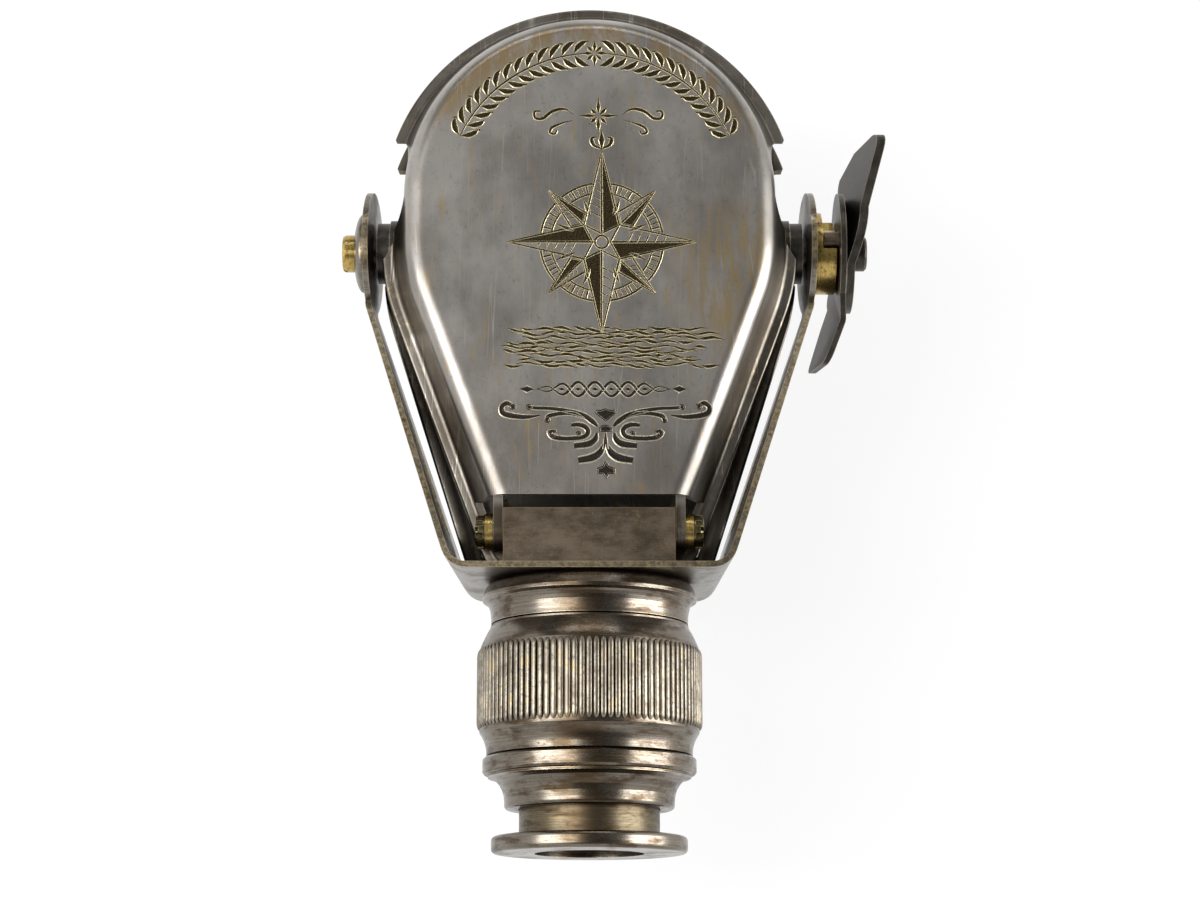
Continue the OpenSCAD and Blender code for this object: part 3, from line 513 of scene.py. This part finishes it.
def box_mesh(low, high):
    """A box between two opposite corners."""
    (x0, y0, z0), (x1, y1, z1) = low, high
    points = [(x, y, z) for x in (x0, x1) for y in (y0, y1) for z in (z0, z1)]
    faces = [(0, 1, 3, 2), (4, 6, 7, 5), (0, 4, 5, 1), (2, 3, 7, 6), (0, 2, 6, 4), (1, 5, 7, 3)]
    return mesh_of("box", points, faces)


def bar_mesh(near, far):
    """A bar between two rings of points."""
    n = len(near)
    faces = [tuple(range(n))[::-1], tuple(range(n, 2 * n))]
    faces += [(i, (i + 1) % n, n + (i + 1) % n, n + i) for i in range(n)]
    return mesh_of("bar", near + far, faces)


def cover_arcs(extra, foot):
    """The arcs of the right half of a cover's bend line, from the top down: their centres and radii."""
    return [((0.0, COVER_TOP), COVER_R + extra),
            ((0.0, COVER_TOP - COVER_DROP), COVER_R + extra),
            ((BLOCK_HALF_W - 4.9 + foot, HINGE_Y + 0.8), BEND_R + COVER_T + 1 + extra)]


def run_angle(a, b):
    """Where the straight run between two arcs leaves them, in degrees."""
    dx, dy = b[0][0] - a[0][0], b[0][1] - a[0][1]
    return math.degrees(math.atan2(dy, dx) + math.acos((a[1] - b[1]) / math.hypot(dx, dy)))


def cover_ring(arcs, offset, z):
    """One closed line round a cover, offset outwards from its bend line."""
    upper, lower = run_angle(arcs[0], arcs[1]), run_angle(arcs[1], arcs[2])
    half = (arc(arcs[2][0], arcs[2][1] + offset, -90, lower, 10)
            + arc(arcs[1][0], arcs[1][1] + offset, lower, upper, 12)
            + arc(arcs[0][0], arcs[0][1] + offset, upper, 90, 64)[1:])
    return [(x, y, z) for x, y in half] + [(-x, y, z) for x, y in half[-2::-1]]


def cover_section():
    """[outward offset, height] from the face over the bend and the side to the lip, and back inside."""
    low = COVER_FACE - COVER_DEPTH
    corner = SIDE_FLARE + 1.0
    under_r = FILLET_R + 0.95
    face_edge = -BEND_R - 0.5
    side = [(BEND_R * (math.cos(a) - 1), COVER_FACE - BEND_R * (1 - math.sin(a)))
            for a in np.radians(np.linspace(90, 0, 15))]
    fillet = arc((corner, low + COVER_T + FILLET_R), FILLET_R, 192, 270, 7)
    roll = arc((SIDE_FLARE + LIP_W - COVER_T / 2, low + COVER_T / 2), COVER_T / 2, 90, -90, 8)
    inner_r = BEND_R - COVER_T
    inner_fillet = arc((corner, low + under_r), under_r, 262, 198, 5)
    inner = [(inner_r * math.cos(a) - BEND_R, COVER_FACE - BEND_R + inner_r * math.sin(a))
             for a in np.radians(np.linspace(0, 90, 12))]
    return ([(face_edge, COVER_FACE)] + side + fillet + roll + inner_fillet + inner
            + [(face_edge, COVER_FACE - COVER_T)])


def ear_points():
    """The outline of an ear, [Y, Z], round the hinge."""
    inner = COVER_FOOT + 4.5
    return (arc((HINGE_Y, HINGE_Z), EAR_R, 76, 262, 24)
            + [(inner, HINGE_Z - EAR_R - 0.3), (inner, EAR_TOP), (COVER_FOOT - 0.1, EAR_TOP)])


def pan_mesh(name, extra, foot):
    """The uncut pan of a cover."""
    arcs = cover_arcs(extra, foot)
    rings = [cover_ring(arcs, d, z) for d, z in cover_section()]
    count = len(rings[0])
    last = (len(rings) - 1) * count
    faces = [tuple(range(count))[::-1]]
    for k in range(len(rings) - 1):
        for i in range(count):
            j = (i + 1) % count
            faces.append((k * count + i, k * count + j, (k + 1) * count + j, (k + 1) * count + i))
    faces.append(tuple(range(last, last + count)))
    return outward(mesh_of(name, [p for ring in rings for p in ring], faces), 1e-6)


def cover_cutters(extra):
    """What is cut from the pan: its wall at the hinge, the lip's foot, the pivots' notch, the lip's ends."""
    below = -5
    lip_top = COVER_FACE - COVER_DEPTH + COVER_T + 0.3
    notch_z = COVER_FACE - BEND_R + 0.5 - NOTCH_R
    ring = arc((NOTCH_Y, notch_z), NOTCH_R, 0, 360, 96)[:-1]
    cutters = [box_mesh((-CLEAR, HINGE_Y - CLEAR, lip_top), (CLEAR, COVER_FOOT, CLEAR)),
               box_mesh((-CLEAR, HINGE_Y - CLEAR, below), (CLEAR, HINGE_Y - LIP_FOOT, CLEAR + 1)),
               bar_mesh([(-CLEAR, y, z) for y, z in ring], [(CLEAR, y, z) for y, z in ring])]
    for side in (1, -1):
        ring = arc((side * (COVER_R + extra + LIP_CUT_R), LIP_CUT_Y), LIP_CUT_R, 0, 360, 160)[:-1]
        cutters.append(bar_mesh([(x, y, below) for x, y in ring], [(x, y, lip_top) for x, y in ring]))
    return cutters


def cover_mesh(name, extra, foot, rear):
    """A cover's plate with its two ears. The rear cover is the front one's mirror image."""
    pan = linked(name, pan_mesh(name, extra, foot))
    tools = [linked("cutter", cutter) for cutter in cover_cutters(extra)]
    for tool in tools:
        cut = pan.modifiers.new("cut", "BOOLEAN")
        cut.operation = "DIFFERENCE"
        cut.solver = "EXACT"
        cut.object = tool
    mesh = applied(pan, name)
    for tool in tools:
        bpy.data.objects.remove(tool)
    work = bmesh.new()
    work.from_mesh(mesh)
    outline = ear_points()
    for side in (1, -1):
        x0, x1 = sorted((side * EAR_X, side * (EAR_X + EAR_T)))
        near = [work.verts.new((x0 * MM, y * MM, z * MM)) for y, z in outline]
        far = [work.verts.new((x1 * MM, y * MM, z * MM)) for y, z in outline]
        work.faces.new(near[::-1])
        work.faces.new(far)
        for i in range(len(outline)):
            j = (i + 1) % len(outline)
            work.faces.new((near[i], near[j], far[j], far[i]))
    if rear:
        bmesh.ops.transform(work, matrix=Matrix.Scale(-1, 4, (0, 0, 1)), verts=work.verts)
    work.to_mesh(mesh)
    work.free()
    return shaded(outward(mesh), 32)


def lathe(name, profile, steps=192):
    """A turned piece from its closed profile, [radius, Y]."""
    count = len(profile)
    angles = np.linspace(0, 2 * math.pi, steps, endpoint=False)
    points = [(r * math.sin(a), y, r * math.cos(a)) for a in angles for r, y in profile]
    faces = []
    for k in range(steps):
        m = (k + 1) % steps
        for i in range(count):
            j = (i + 1) % count
            faces.append((k * count + i, m * count + i, m * count + j, k * count + j))
    return mesh_of(name, points, faces)


def ridge_mesh():
    """One ridge of the knurl, with rounded ends, on the +Z side."""
    pitch = 2 * math.pi / KNURL_COUNT
    foot = -0.12
    # Across the ridge: share of the pitch, and height over the root
    flank = [(0.47, foot), (0.41, 0.16), (0.33, 0.33), (0.20, KNURL_H - 0.01)]
    section = [(-x, h) for x, h in flank] + [(0.0, KNURL_H)] + flank[::-1]
    # Along the ridge: distance from its end, and share of the full width and height there
    stations = [(0.0, 0.08), (0.12, 0.42), (0.35, 0.70), (0.70, 0.90), (1.2, 1.0)]
    stations = stations + [(KNURL_LEN / 2, 1.0)] + [(KNURL_LEN - y, k) for y, k in stations[::-1]]
    points = []
    for along, k in stations:
        for across, height in section:
            r = KNURL_ROOT + foot + (height - foot) * k
            a = across * pitch * k
            points.append((r * math.sin(a), KNURL_Y + along, r * math.cos(a)))
    n = len(section)
    faces = []
    for s in range(len(stations) - 1):
        faces += [(s * n + i, s * n + i + 1, (s + 1) * n + i + 1, (s + 1) * n + i) for i in range(n - 1)]
        faces.append((s * n + n - 1, s * n, (s + 1) * n, (s + 1) * n + n - 1))
    faces.append(tuple(range(n))[::-1])
    faces.append(tuple(range((len(stations) - 1) * n, len(stations) * n)))
    return mesh_of("ridge", points, faces)


def repeat_round(base, count, finish):
    """Geometry Nodes: copies of the base object's mesh, turned evenly about the optical axis."""
    tree = bpy.data.node_groups.new("repeat_round", "GeometryNodeTree")
    for name, kind in (("Geometry", "Geometry"), ("Copies", "Int"), ("Finish", "Material")):
        tree.interface.new_socket(name, in_out="INPUT", socket_type="NodeSocket" + kind)
    tree.interface.new_socket("Geometry", in_out="OUTPUT", socket_type="NodeSocketGeometry")
    nodes = Nodes(tree)
    shape = nodes.node("NodeGroupInput", out="Geometry")
    copies = nodes.node("NodeGroupInput", out="Copies")
    material = nodes.node("NodeGroupInput", out="Finish")
    turn = copies.math("DIVIDE", 2 * math.pi, copies) * nodes.node("GeometryNodeInputIndex")
    spots = nodes.node("GeometryNodeMeshLine", None, {"Count": copies, "Offset": (0, 0, 0)})
    turned = nodes.node("ShaderNodeCombineXYZ", None, {"Y": turn})
    placed = nodes.node("GeometryNodeInstanceOnPoints", None,
                        {"Points": spots, "Instance": shape, "Rotation": turned})
    joined = nodes.node("GeometryNodeRealizeInstances", None, {"Geometry": placed})
    coated = nodes.node("GeometryNodeSetMaterial", None, {"Geometry": joined, "Material": material})
    nodes.node("NodeGroupOutput", None, {"Geometry": coated})
    modifier = base.modifiers.new("repeat_round", "NODES")
    modifier.node_group = tree
    sockets = {item.name: item.identifier for item in tree.interface.items_tree if item.in_out == "INPUT"}
    modifier[sockets["Copies"]] = count
    modifier[sockets["Finish"]] = FINISHES[finish]
    return applied(base, "ridges")


def focus_body_mesh():
    """The focus ring without its ridges: a cove below the grip and a shoulder above it."""
    end_y = FOCUS_Y + FOCUS_LEN
    root = KNURL_ROOT - 0.1
    top_y = KNURL_Y + KNURL_LEN + 0.1
    cove = [(COVE_R + (root - 0.05 - COVE_R) * t * t, FOCUS_Y + COVE_START + COVE_LEN * t)
            for t in np.linspace(0, 1, 14)]
    shoulder = [(root - (root - 0.1 - NECK_R) * t ** 1.25, top_y + (end_y - top_y - 0.4) * t)
                for t in np.linspace(0.04, 1, 16)]
    profile = ([(SLEEVE_R, FOCUS_Y), (COVE_R - 0.2, FOCUS_Y), (COVE_R, FOCUS_Y + 0.2)] + cove
               + [(root, FOCUS_Y + 4.5), (root, KNURL_Y + 1), (root, top_y)] + shoulder
               + [(NECK_R + 0.1, end_y - 0.1), (NECK_R, end_y), (BARREL_R, end_y),
                  (BARREL_R, end_y - SLEEVE_STOP), (SLEEVE_R, end_y - SLEEVE_STOP)])
    return shaded(outward(lathe("focus_body", profile), 1e-7), 30)


def grip_ridges_mesh():
    """All the ridges of the knurl in one mesh."""
    ridge = linked("ridge", shaded(outward(ridge_mesh(), 1e-7), 50))
    return repeat_round(ridge, KNURL_COUNT, "knurl")


# Engraving on the front cover. A stroke is [X, Y] points in millimetres with a width at each.


class Engraving:
    """Cut lines with a raised burr on both sides. A stroke is a closed strip whose foot lies in the plate."""

    # Across the strip: share of its half width, and height over the plate
    SECTION = [(-1.0, -0.03), (-1.0, 0.0), (-0.78, 0.05), (0.0, 0.006), (0.78, 0.05), (1.0, 0.0),
               (1.0, -0.03)]

    def __init__(self, level):
        self.level = level
        self.points, self.faces, self.across = [], [], []

    def stroke(self, points, widths):
        """A line through the points, rounded between them; widths are spread along it."""
        line = rounded(points, len(widths))
        along = np.linspace(0, 1, len(line))
        half = np.interp(along, np.linspace(0, 1, len(widths)), widths) / 2
        step = np.gradient(line, axis=0)
        length = np.maximum(np.hypot(step[:, 0], step[:, 1]), 1e-9)
        side = np.stack([-step[:, 1] / length, step[:, 0] / length], axis=1)
        start, n = len(self.points), len(self.SECTION)
        for spot, normal, w in zip(line, side, half):
            for k, z in self.SECTION:
                x, y = spot + normal * w * k
                self.points.append((x, y, self.level + z))
                self.across.append(0.5 + 0.5 * k)
        for i in range(len(line) - 1):
            a = start + n * i
            self.faces += [(a + j, a + (j + 1) % n, a + n + (j + 1) % n, a + n + j) for j in range(n)]
        self.faces.append(tuple(range(start, start + n)))
        last = start + n * (len(line) - 1)
        self.faces.append(tuple(range(last, last + n)))

    def fill(self, corners):
        """A cut-away field between outlines."""
        start, n = len(self.points), len(corners)
        for z in (-0.03, 0.005):
            self.points += [(x, y, self.level + z) for x, y in corners]
        self.across += [0.5] * (2 * n)
        self.faces += [(start + j, start + (j + 1) % n, start + n + (j + 1) % n, start + n + j)
                       for j in range(n)]
        self.faces += [tuple(range(start, start + n)), tuple(range(start + n, start + 2 * n))]

    def mirrored(self, middle, points, widths):
        """The same stroke on both sides of the middle, from which its points are measured."""
        for k in (1, -1):
            self.stroke([(middle[0] + k * x, middle[1] + y) for x, y in points], widths)

    def piece(self, name, finish):
        """Everything cut so far, as one piece on the front cover."""
        mesh = mesh_of(name, self.points, self.faces)
        layer = mesh.uv_layers.new(name="across")
        for loop in mesh.loops:
            layer.data[loop.index].uv = (self.across[loop.vertex_index], 0.5)
        piece(name, outward(mesh), finish, "front_cover_body")


def rounded(points, width_count):
    """A smooth line through the points, five steps from each to the next."""
    p = np.array(points, float)
    # A straight line is divided only where its width swells along it
    if len(p) < 3:
        return np.linspace(p[0], p[-1], 2 if width_count < 3 else 9)
    p = np.vstack([2 * p[0] - p[1], p, 2 * p[-1] - p[-2]])
    out = []
    for i in range(1, len(p) - 2):
        for t in np.linspace(0, 1, 5, endpoint=False):
            a, b, c, d = p[i - 1:i + 3]
            out.append(0.5 * ((2 * b) + (c - a) * t + (2 * a - 5 * b + 4 * c - d) * t ** 2
                              + (3 * b - a - 3 * c + d) * t ** 3))
    out.append(p[-2])
    return np.array(out)


def spoke(centre, angle, r):
    """The point at this distance from the centre, at an angle in degrees from +Y towards +X."""
    return (centre[0] + r * math.sin(math.radians(angle)), centre[1] + r * math.cos(math.radians(angle)))


def ring_line(work, centre, r, width):
    """A closed ring."""
    work.stroke([spoke(centre, a, r) for a in range(0, 361, 10)], [width, width])


def rose_point(work, centre, angle, tip, root, knee, waist, line):
    """A point of the compass rose: one half cut away, the other outlined and hatched."""
    left, right = spoke(centre, angle - waist, knee), spoke(centre, angle + waist, knee)
    end, middle = spoke(centre, angle, tip), spoke(centre, angle, root)
    work.fill([middle, right, end])
    for corner in (left, right):
        work.stroke([corner, end], [line, line * 0.6])
        work.stroke([corner, middle], [line * 0.8, line * 0.8])
    work.stroke([middle, end], [line, line * 0.6])
    for i in range(1, 6):
        t = 0.10 + 0.62 * i / 6
        spine = np.array(middle) * (1 - t) + np.array(end) * t
        edge = np.array(left) * (1 - t) + np.array(end) * t
        work.stroke([tuple(spine), tuple(edge * 0.85 + spine * 0.15)], [line * 0.7, line * 0.4])


def compass_rose(work, centre):
    """Four long and four short points over two rings with graduations, and a bud over the top point."""
    for angle in range(0, 360, 90):
        rose_point(work, centre, angle, 17.2, 1.6, 4.6, 45, 0.56)
        rose_point(work, centre, angle + 45, 13.8, 4.9, 6.4, 17, 0.50)
    for angle in np.arange(22.5, 360, 45):
        work.stroke([spoke(centre, angle, r) for r in (5.4, 6.8, 8.9)], [0.2, 0.95, 0.1])
    ring_line(work, centre, 1.2, 0.5)
    # The rings run behind the points
    for r, width, clear_long, clear_short in ((9.3, 0.46, 13.0, 7.5), (11.2, 0.52, 8.6, 4.2)):
        for quarter in range(0, 360, 90):
            for start, stop in ((quarter + clear_long, quarter + 45 - clear_short),
                                (quarter + 45 + clear_short, quarter + 90 - clear_long)):
                work.stroke([spoke(centre, a, r) for a in np.linspace(start, stop, 5)], [width, width])
    # Graduations every five degrees, left out where a point covers them
    for k in range(72):
        if k % 9 not in (0, 1, 8) or k % 18 in (8, 10):
            width = 0.48 if k % 3 == 0 else 0.30
            work.stroke([spoke(centre, 5 * k, 9.5), spoke(centre, 5 * k, 11.0)], [width, width])
    top = spoke(centre, 0, 17.9)
    work.mirrored(top, [(0.15, 0.0), (1.5, 0.7), (1.8, 1.9), (1.0, 2.2)], [0.5, 0.95, 0.40])
    work.stroke([(top[0], top[1] + rise) for rise in (-0.2, 1.6, 3.5)], [0.2, 1.35, 0.1])


def waves(work, middle, half_w, top, rows, seed=5):
    """Rows of short wavy strokes, ragged at both ends, as an engraver cuts water."""
    draw = np.random.default_rng(seed)
    for row in range(rows):
        level = top - 0.84 * row
        x = middle - half_w * draw.uniform(0.72, 1.0)
        stop = middle + half_w * draw.uniform(0.72, 1.0)
        while x < stop:
            length = draw.uniform(2.2, 6.2)
            phase, lift, slope = draw.uniform(0, 6), draw.uniform(-0.22, 0.22), draw.uniform(-0.11, 0.02)
            wide = draw.uniform(0.50, 0.92)
            line = [(v, level + lift + 0.20 * math.sin(1.25 * v + phase) + slope * (v - x))
                    for v in np.linspace(x, x + length, 6)]
            work.stroke(line, [0.08, wide, wide * 0.8, 0.06])
            x += length * draw.uniform(0.60, 0.88)


def garland(work, centre, r, spread, leaves):
    """A laurel garland along an arc, from both ends to the middle of the top."""
    for side in (1, -1):
        work.stroke([spoke(centre, side * a, r) for a in np.linspace(spread, 3.4, 16)], [0.30, 0.50, 0.36])
        for k in range(leaves):
            a = spread - (spread - 8.0) * k / (leaves - 1)
            for out in (1, -1):
                line = [spoke(centre, side * (a - turn), r + out * lift)
                        for turn, lift in ((0.0, 0.2), (1.6, 1.35), (3.7, 2.15), (5.9, 2.45))]
                work.stroke(line, [0.18, 1.35, 1.15, 0.08])
            if k % 2:
                for out in (1, -1):
                    berry = spoke(centre, side * (a - 0.6), r + out * 2.5)
                    work.stroke([(berry[0] - 0.3, berry[1]), (berry[0] + 0.3, berry[1])], [0.60, 0.62])
    top = spoke(centre, 0, r)
    for k in range(8):
        tip = 1.9 if k % 2 else 2.6
        work.stroke([spoke(top, 45 * k, reach) for reach in (0.4, 1.3, tip)], [0.2, 0.95, 0.08])


def plait(work, middle, y, half_w):
    """Two crossing wavy lines with tapered ends, and a lozenge at each end."""
    turns = 1.05
    xs = np.linspace(-half_w, half_w, 49)
    taper = np.minimum(1.0, 1.7 * (1 - np.abs(xs) / half_w) + 0.1)
    for phase in (0.0, math.pi):
        line = [(middle + x, y + 1.3 * math.sin(turns * x + phase) * k) for x, k in zip(xs, taper)]
        work.stroke(line, [0.16, 0.72, 0.72, 0.72, 0.16])
    for k in range(-4, 4):
        spot = middle + math.pi / turns * (k + 0.5)
        if abs(spot - middle) < half_w - 2.0:
            work.stroke([(spot - 0.55, y), (spot, y), (spot + 0.55, y)], [0.1, 0.9, 0.1])
    for side in (1, -1):
        x = middle + side * (half_w + 1.5)
        work.stroke([(x - 1.3, y), (x, y), (x + 1.3, y)], [0.1, 1.6, 0.1])


def small_star(work, centre):
    """A star of eight points between two pairs of curls."""
    for k in range(8):
        tip = 2.2 if k % 2 else 3.6
        work.stroke([spoke(centre, 45 * k, r) for r in (0.5, 0.5 + 0.35 * tip, tip)], [0.3, 0.95, 0.06])
    work.mirrored(centre, [(4.4, 0.2), (6.2, 1.3), (8.4, 0.9), (10.2, -0.5), (11.6, -0.4), (11.7, 0.8),
                           (10.7, 0.9)], [0.1, 0.85, 0.80, 0.66, 0.45])
    work.mirrored(centre, [(4.8, -0.9), (6.6, -1.4), (8.4, -2.2), (8.9, -3.2), (8.0, -3.5), (7.6, -2.8)],
                  [0.1, 0.70, 0.60, 0.40])


def flourish(work, middle):
    """The scroll flourish at the cover's foot. Its points are steps from its middle, outwards and down."""
    step = 0.052

    def placed(points, k=1):
        """The points on the cover, on the right side or, with k = -1, on the left."""
        return [(middle[0] + step * k * x, middle[1] - step * y) for x, y in points]

    def both(points, widths):
        """The same stroke on both sides."""
        for k in (1, -1):
            work.stroke(placed(points, k), widths)

    def field(points):
        """A cut-away field with a fine outline."""
        loop = placed(points)
        work.fill(loop)
        for a, b in zip(loop, loop[1:] + loop[:1]):
            work.stroke([a, b], [0.34, 0.34])

    def blobs(*spots):
        """Round ends of scrolls: X, Y and radius, on both sides."""
        for x, y, r in spots:
            for k in (1, -1):
                ring = [(x + r * math.cos(a), y + r * math.sin(a)) for a in np.radians(range(0, 360, 30))]
                work.fill(placed(ring, k))
                work.stroke(placed(ring + ring[:2], k), [0.30, 0.30])

    both([(322, -12), (341, -21), (358, -8), (354, 13), (326, 23), (276, 28), (226, 22)],
         [1.0, 1.15, 1.10, 1.35, 1.35, 1.10, 0.35])
    both([(262, -7), (238, -4), (186, -2), (126, 7), (76, 22), (44, 44), (28, 60)],
         [0.8, 0.85, 0.85, 1.00, 1.15, 1.25, 0.70])
    both([(203, 40), (194, 24), (146, 15), (106, 18), (70, 34)], [0.9, 1.10, 0.95, 0.95, 0.30])
    blobs((322, -9, 10), (264, -7, 9), (202, 38, 10), (184, 84, 14), (93, 87, 8))
    both([(118, 57), (91, 55), (68, 64), (60, 80), (71, 96), (101, 103), (146, 104), (180, 98), (192, 82),
          (174, 78)], [0.90, 1.15, 1.20, 1.15, 1.10, 1.10, 1.10, 1.20, 1.20, 0.9])
    both([(30, 84), (36, 106), (58, 123), (108, 130)], [0.60, 1.35, 1.60, 1.35])
    both([(4, 124), (21, 155), (48, 172), (94, 181)], [0.80, 1.65, 1.85, 1.50])
    work.stroke(placed([(0, 84), (0, 112), (0, 142)]), [0.40, 0.85, 1.20])
    field([(0, 42), (-34, 15), (-31, 4), (-16, 5), (0, -1), (16, 5), (31, 4), (34, 15)])
    field([(-20, 79), (-20, 67), (-10, 58), (10, 58), (20, 67), (20, 79)])
    field([(0, 184), (-9, 203), (-29, 210), (-28, 227), (-8, 227), (1, 245), (10, 227), (30, 227),
           (31, 210), (11, 203)])


# What is built

piece("front_cover_plate", cover_mesh("front_cover_plate", 0.0, 0.0, False), "cover", "front_cover_body",
      "front_cover")
piece("rear_cover_plate", cover_mesh("rear_cover_plate", REAR_EXTRA, REAR_FOOT, True), "cover",
      "rear_cover_body", "rear_cover")
piece("focus_body", focus_body_mesh(), "turned", "focus_ring_body", "focus_ring")
piece("grip_ridges", grip_ridges_mesh(), "knurl", "focus_ring_body")

gilt = Engraving(COVER_FACE)
compass_rose(gilt, (2.2, 109.2))
waves(gilt, 2.2, 18.2, 92.9, 9)
garland(gilt, (0.9, 118.6), 27.0, 66.0, 13)
small_star(gilt, (1.6, 133.4))
gilt.piece("gilt_engraving", "gilt_cut")
grey = Engraving(COVER_FACE)
plait(grey, 2.5, 81.6, 12.2)
flourish(grey, (2.9, 77.9))
grey.piece("grey_engraving", "grey_cut")

# Camera, light and floor

# The photograph's camera: its place, its tilt in degrees, its focal length and frame in pixels
CAMERA_PLACE = (0.0019, -0.033, 0.480)
CAMERA_TILT = 12.6
FOCAL_PX = 2650
FRAME_PX = 1200
SENSOR = 36

camera = linked("camera", bpy.data.cameras.new("camera"))
camera.location = CAMERA_PLACE
camera.rotation_euler = (math.radians(CAMERA_TILT), 0, 0)
camera.data.sensor_width = SENSOR
camera.data.lens = SENSOR * FOCAL_PX / FRAME_PX
camera.data.clip_start = 0.01
bpy.context.scene.camera = camera
bpy.context.scene.view_settings.view_transform = "Standard"

# White where it is seen, and dimmer as a light
world = bpy.data.worlds.new("world")
world.use_nodes = True
bpy.context.scene.world = world
sky = Nodes(world.node_tree)
background = world.node_tree.nodes["Background"]
sky.feed(background.inputs["Color"], (1, 1, 1))
sky.feed(background.inputs["Strength"], sky.seen() * 0.4 + 0.6)


def softbox(name, place, size, power, aim=(0, 0.085, 0)):
    """A rectangular lamp that faces the part."""
    lamp = bpy.data.lights.new(name, "AREA")
    lamp.shape = "RECTANGLE"
    lamp.size, lamp.size_y = size
    lamp.energy = power
    made = linked(name, lamp)
    made.location = place
    made.rotation_euler = (Vector(aim) - Vector(place)).to_track_quat("-Z", "Y").to_euler()


softbox("left_softbox", (-0.50, 0.06, 0.70), (0.24, 0.8), 5.0)
softbox("right_softbox", (0.84, 0.06, 0.30), (0.32, 0.8), 6.5)
softbox("top_softbox", (0.0, 0.80, 0.50), (0.8, 0.07), 1.0)

# Dark flags round the camera, seen only in reflections, keep the metal deep
FLAGS = {"overhead_flag": [(-380, -700, 900), (1000, -700, 900), (1000, 480, 900), (-380, 480, 900)],
         "far_flag": [(-900, 640, 860), (900, 640, 860), (900, 1150, 160), (-900, 1150, 160)]}
flag_finish = Finish("flag")
dark = flag_finish.surface(flag_finish.node("ShaderNodeBsdfDiffuse", None, {"Color": (0.10, 0.10, 0.10)}))
for flag_name, corners in FLAGS.items():
    flag = linked(flag_name, mesh_of(flag_name, corners, [(0, 3, 2, 1)]))
    flag.data.materials.append(dark)
    flag.visible_camera = False
    flag.visible_shadow = False
    flag.visible_diffuse = False

# The floor is parallel to the plane under the closed part, and low enough for the open rear cover
FLOOR_Z = -69.4
FLOOR_SLOPE = 0.0254
FLOOR_HALF = 3000
floor_finish = Finish("floor")
plain = floor_finish.node("ShaderNodeBsdfDiffuse", None, {"Color": (0.9, 0.9, 0.9)})
glow = floor_finish.node("ShaderNodeEmission", None, {"Color": (1.0, 1.0, 1.0), "Strength": 1.0})
pale = floor_finish.node("ShaderNodeMixShader", None, {0: floor_finish.seen() * 0.72, 1: plain, 2: glow})
sides = ((-1, -1), (1, -1), (1, 1), (-1, 1))
spread = [(x * FLOOR_HALF, y * FLOOR_HALF, FLOOR_Z + y * FLOOR_HALF * FLOOR_SLOPE) for x, y in sides]
floor = linked("floor", mesh_of("floor", spread, [(0, 1, 2, 3)]))
floor.data.materials.append(floor_finish.surface(pale))
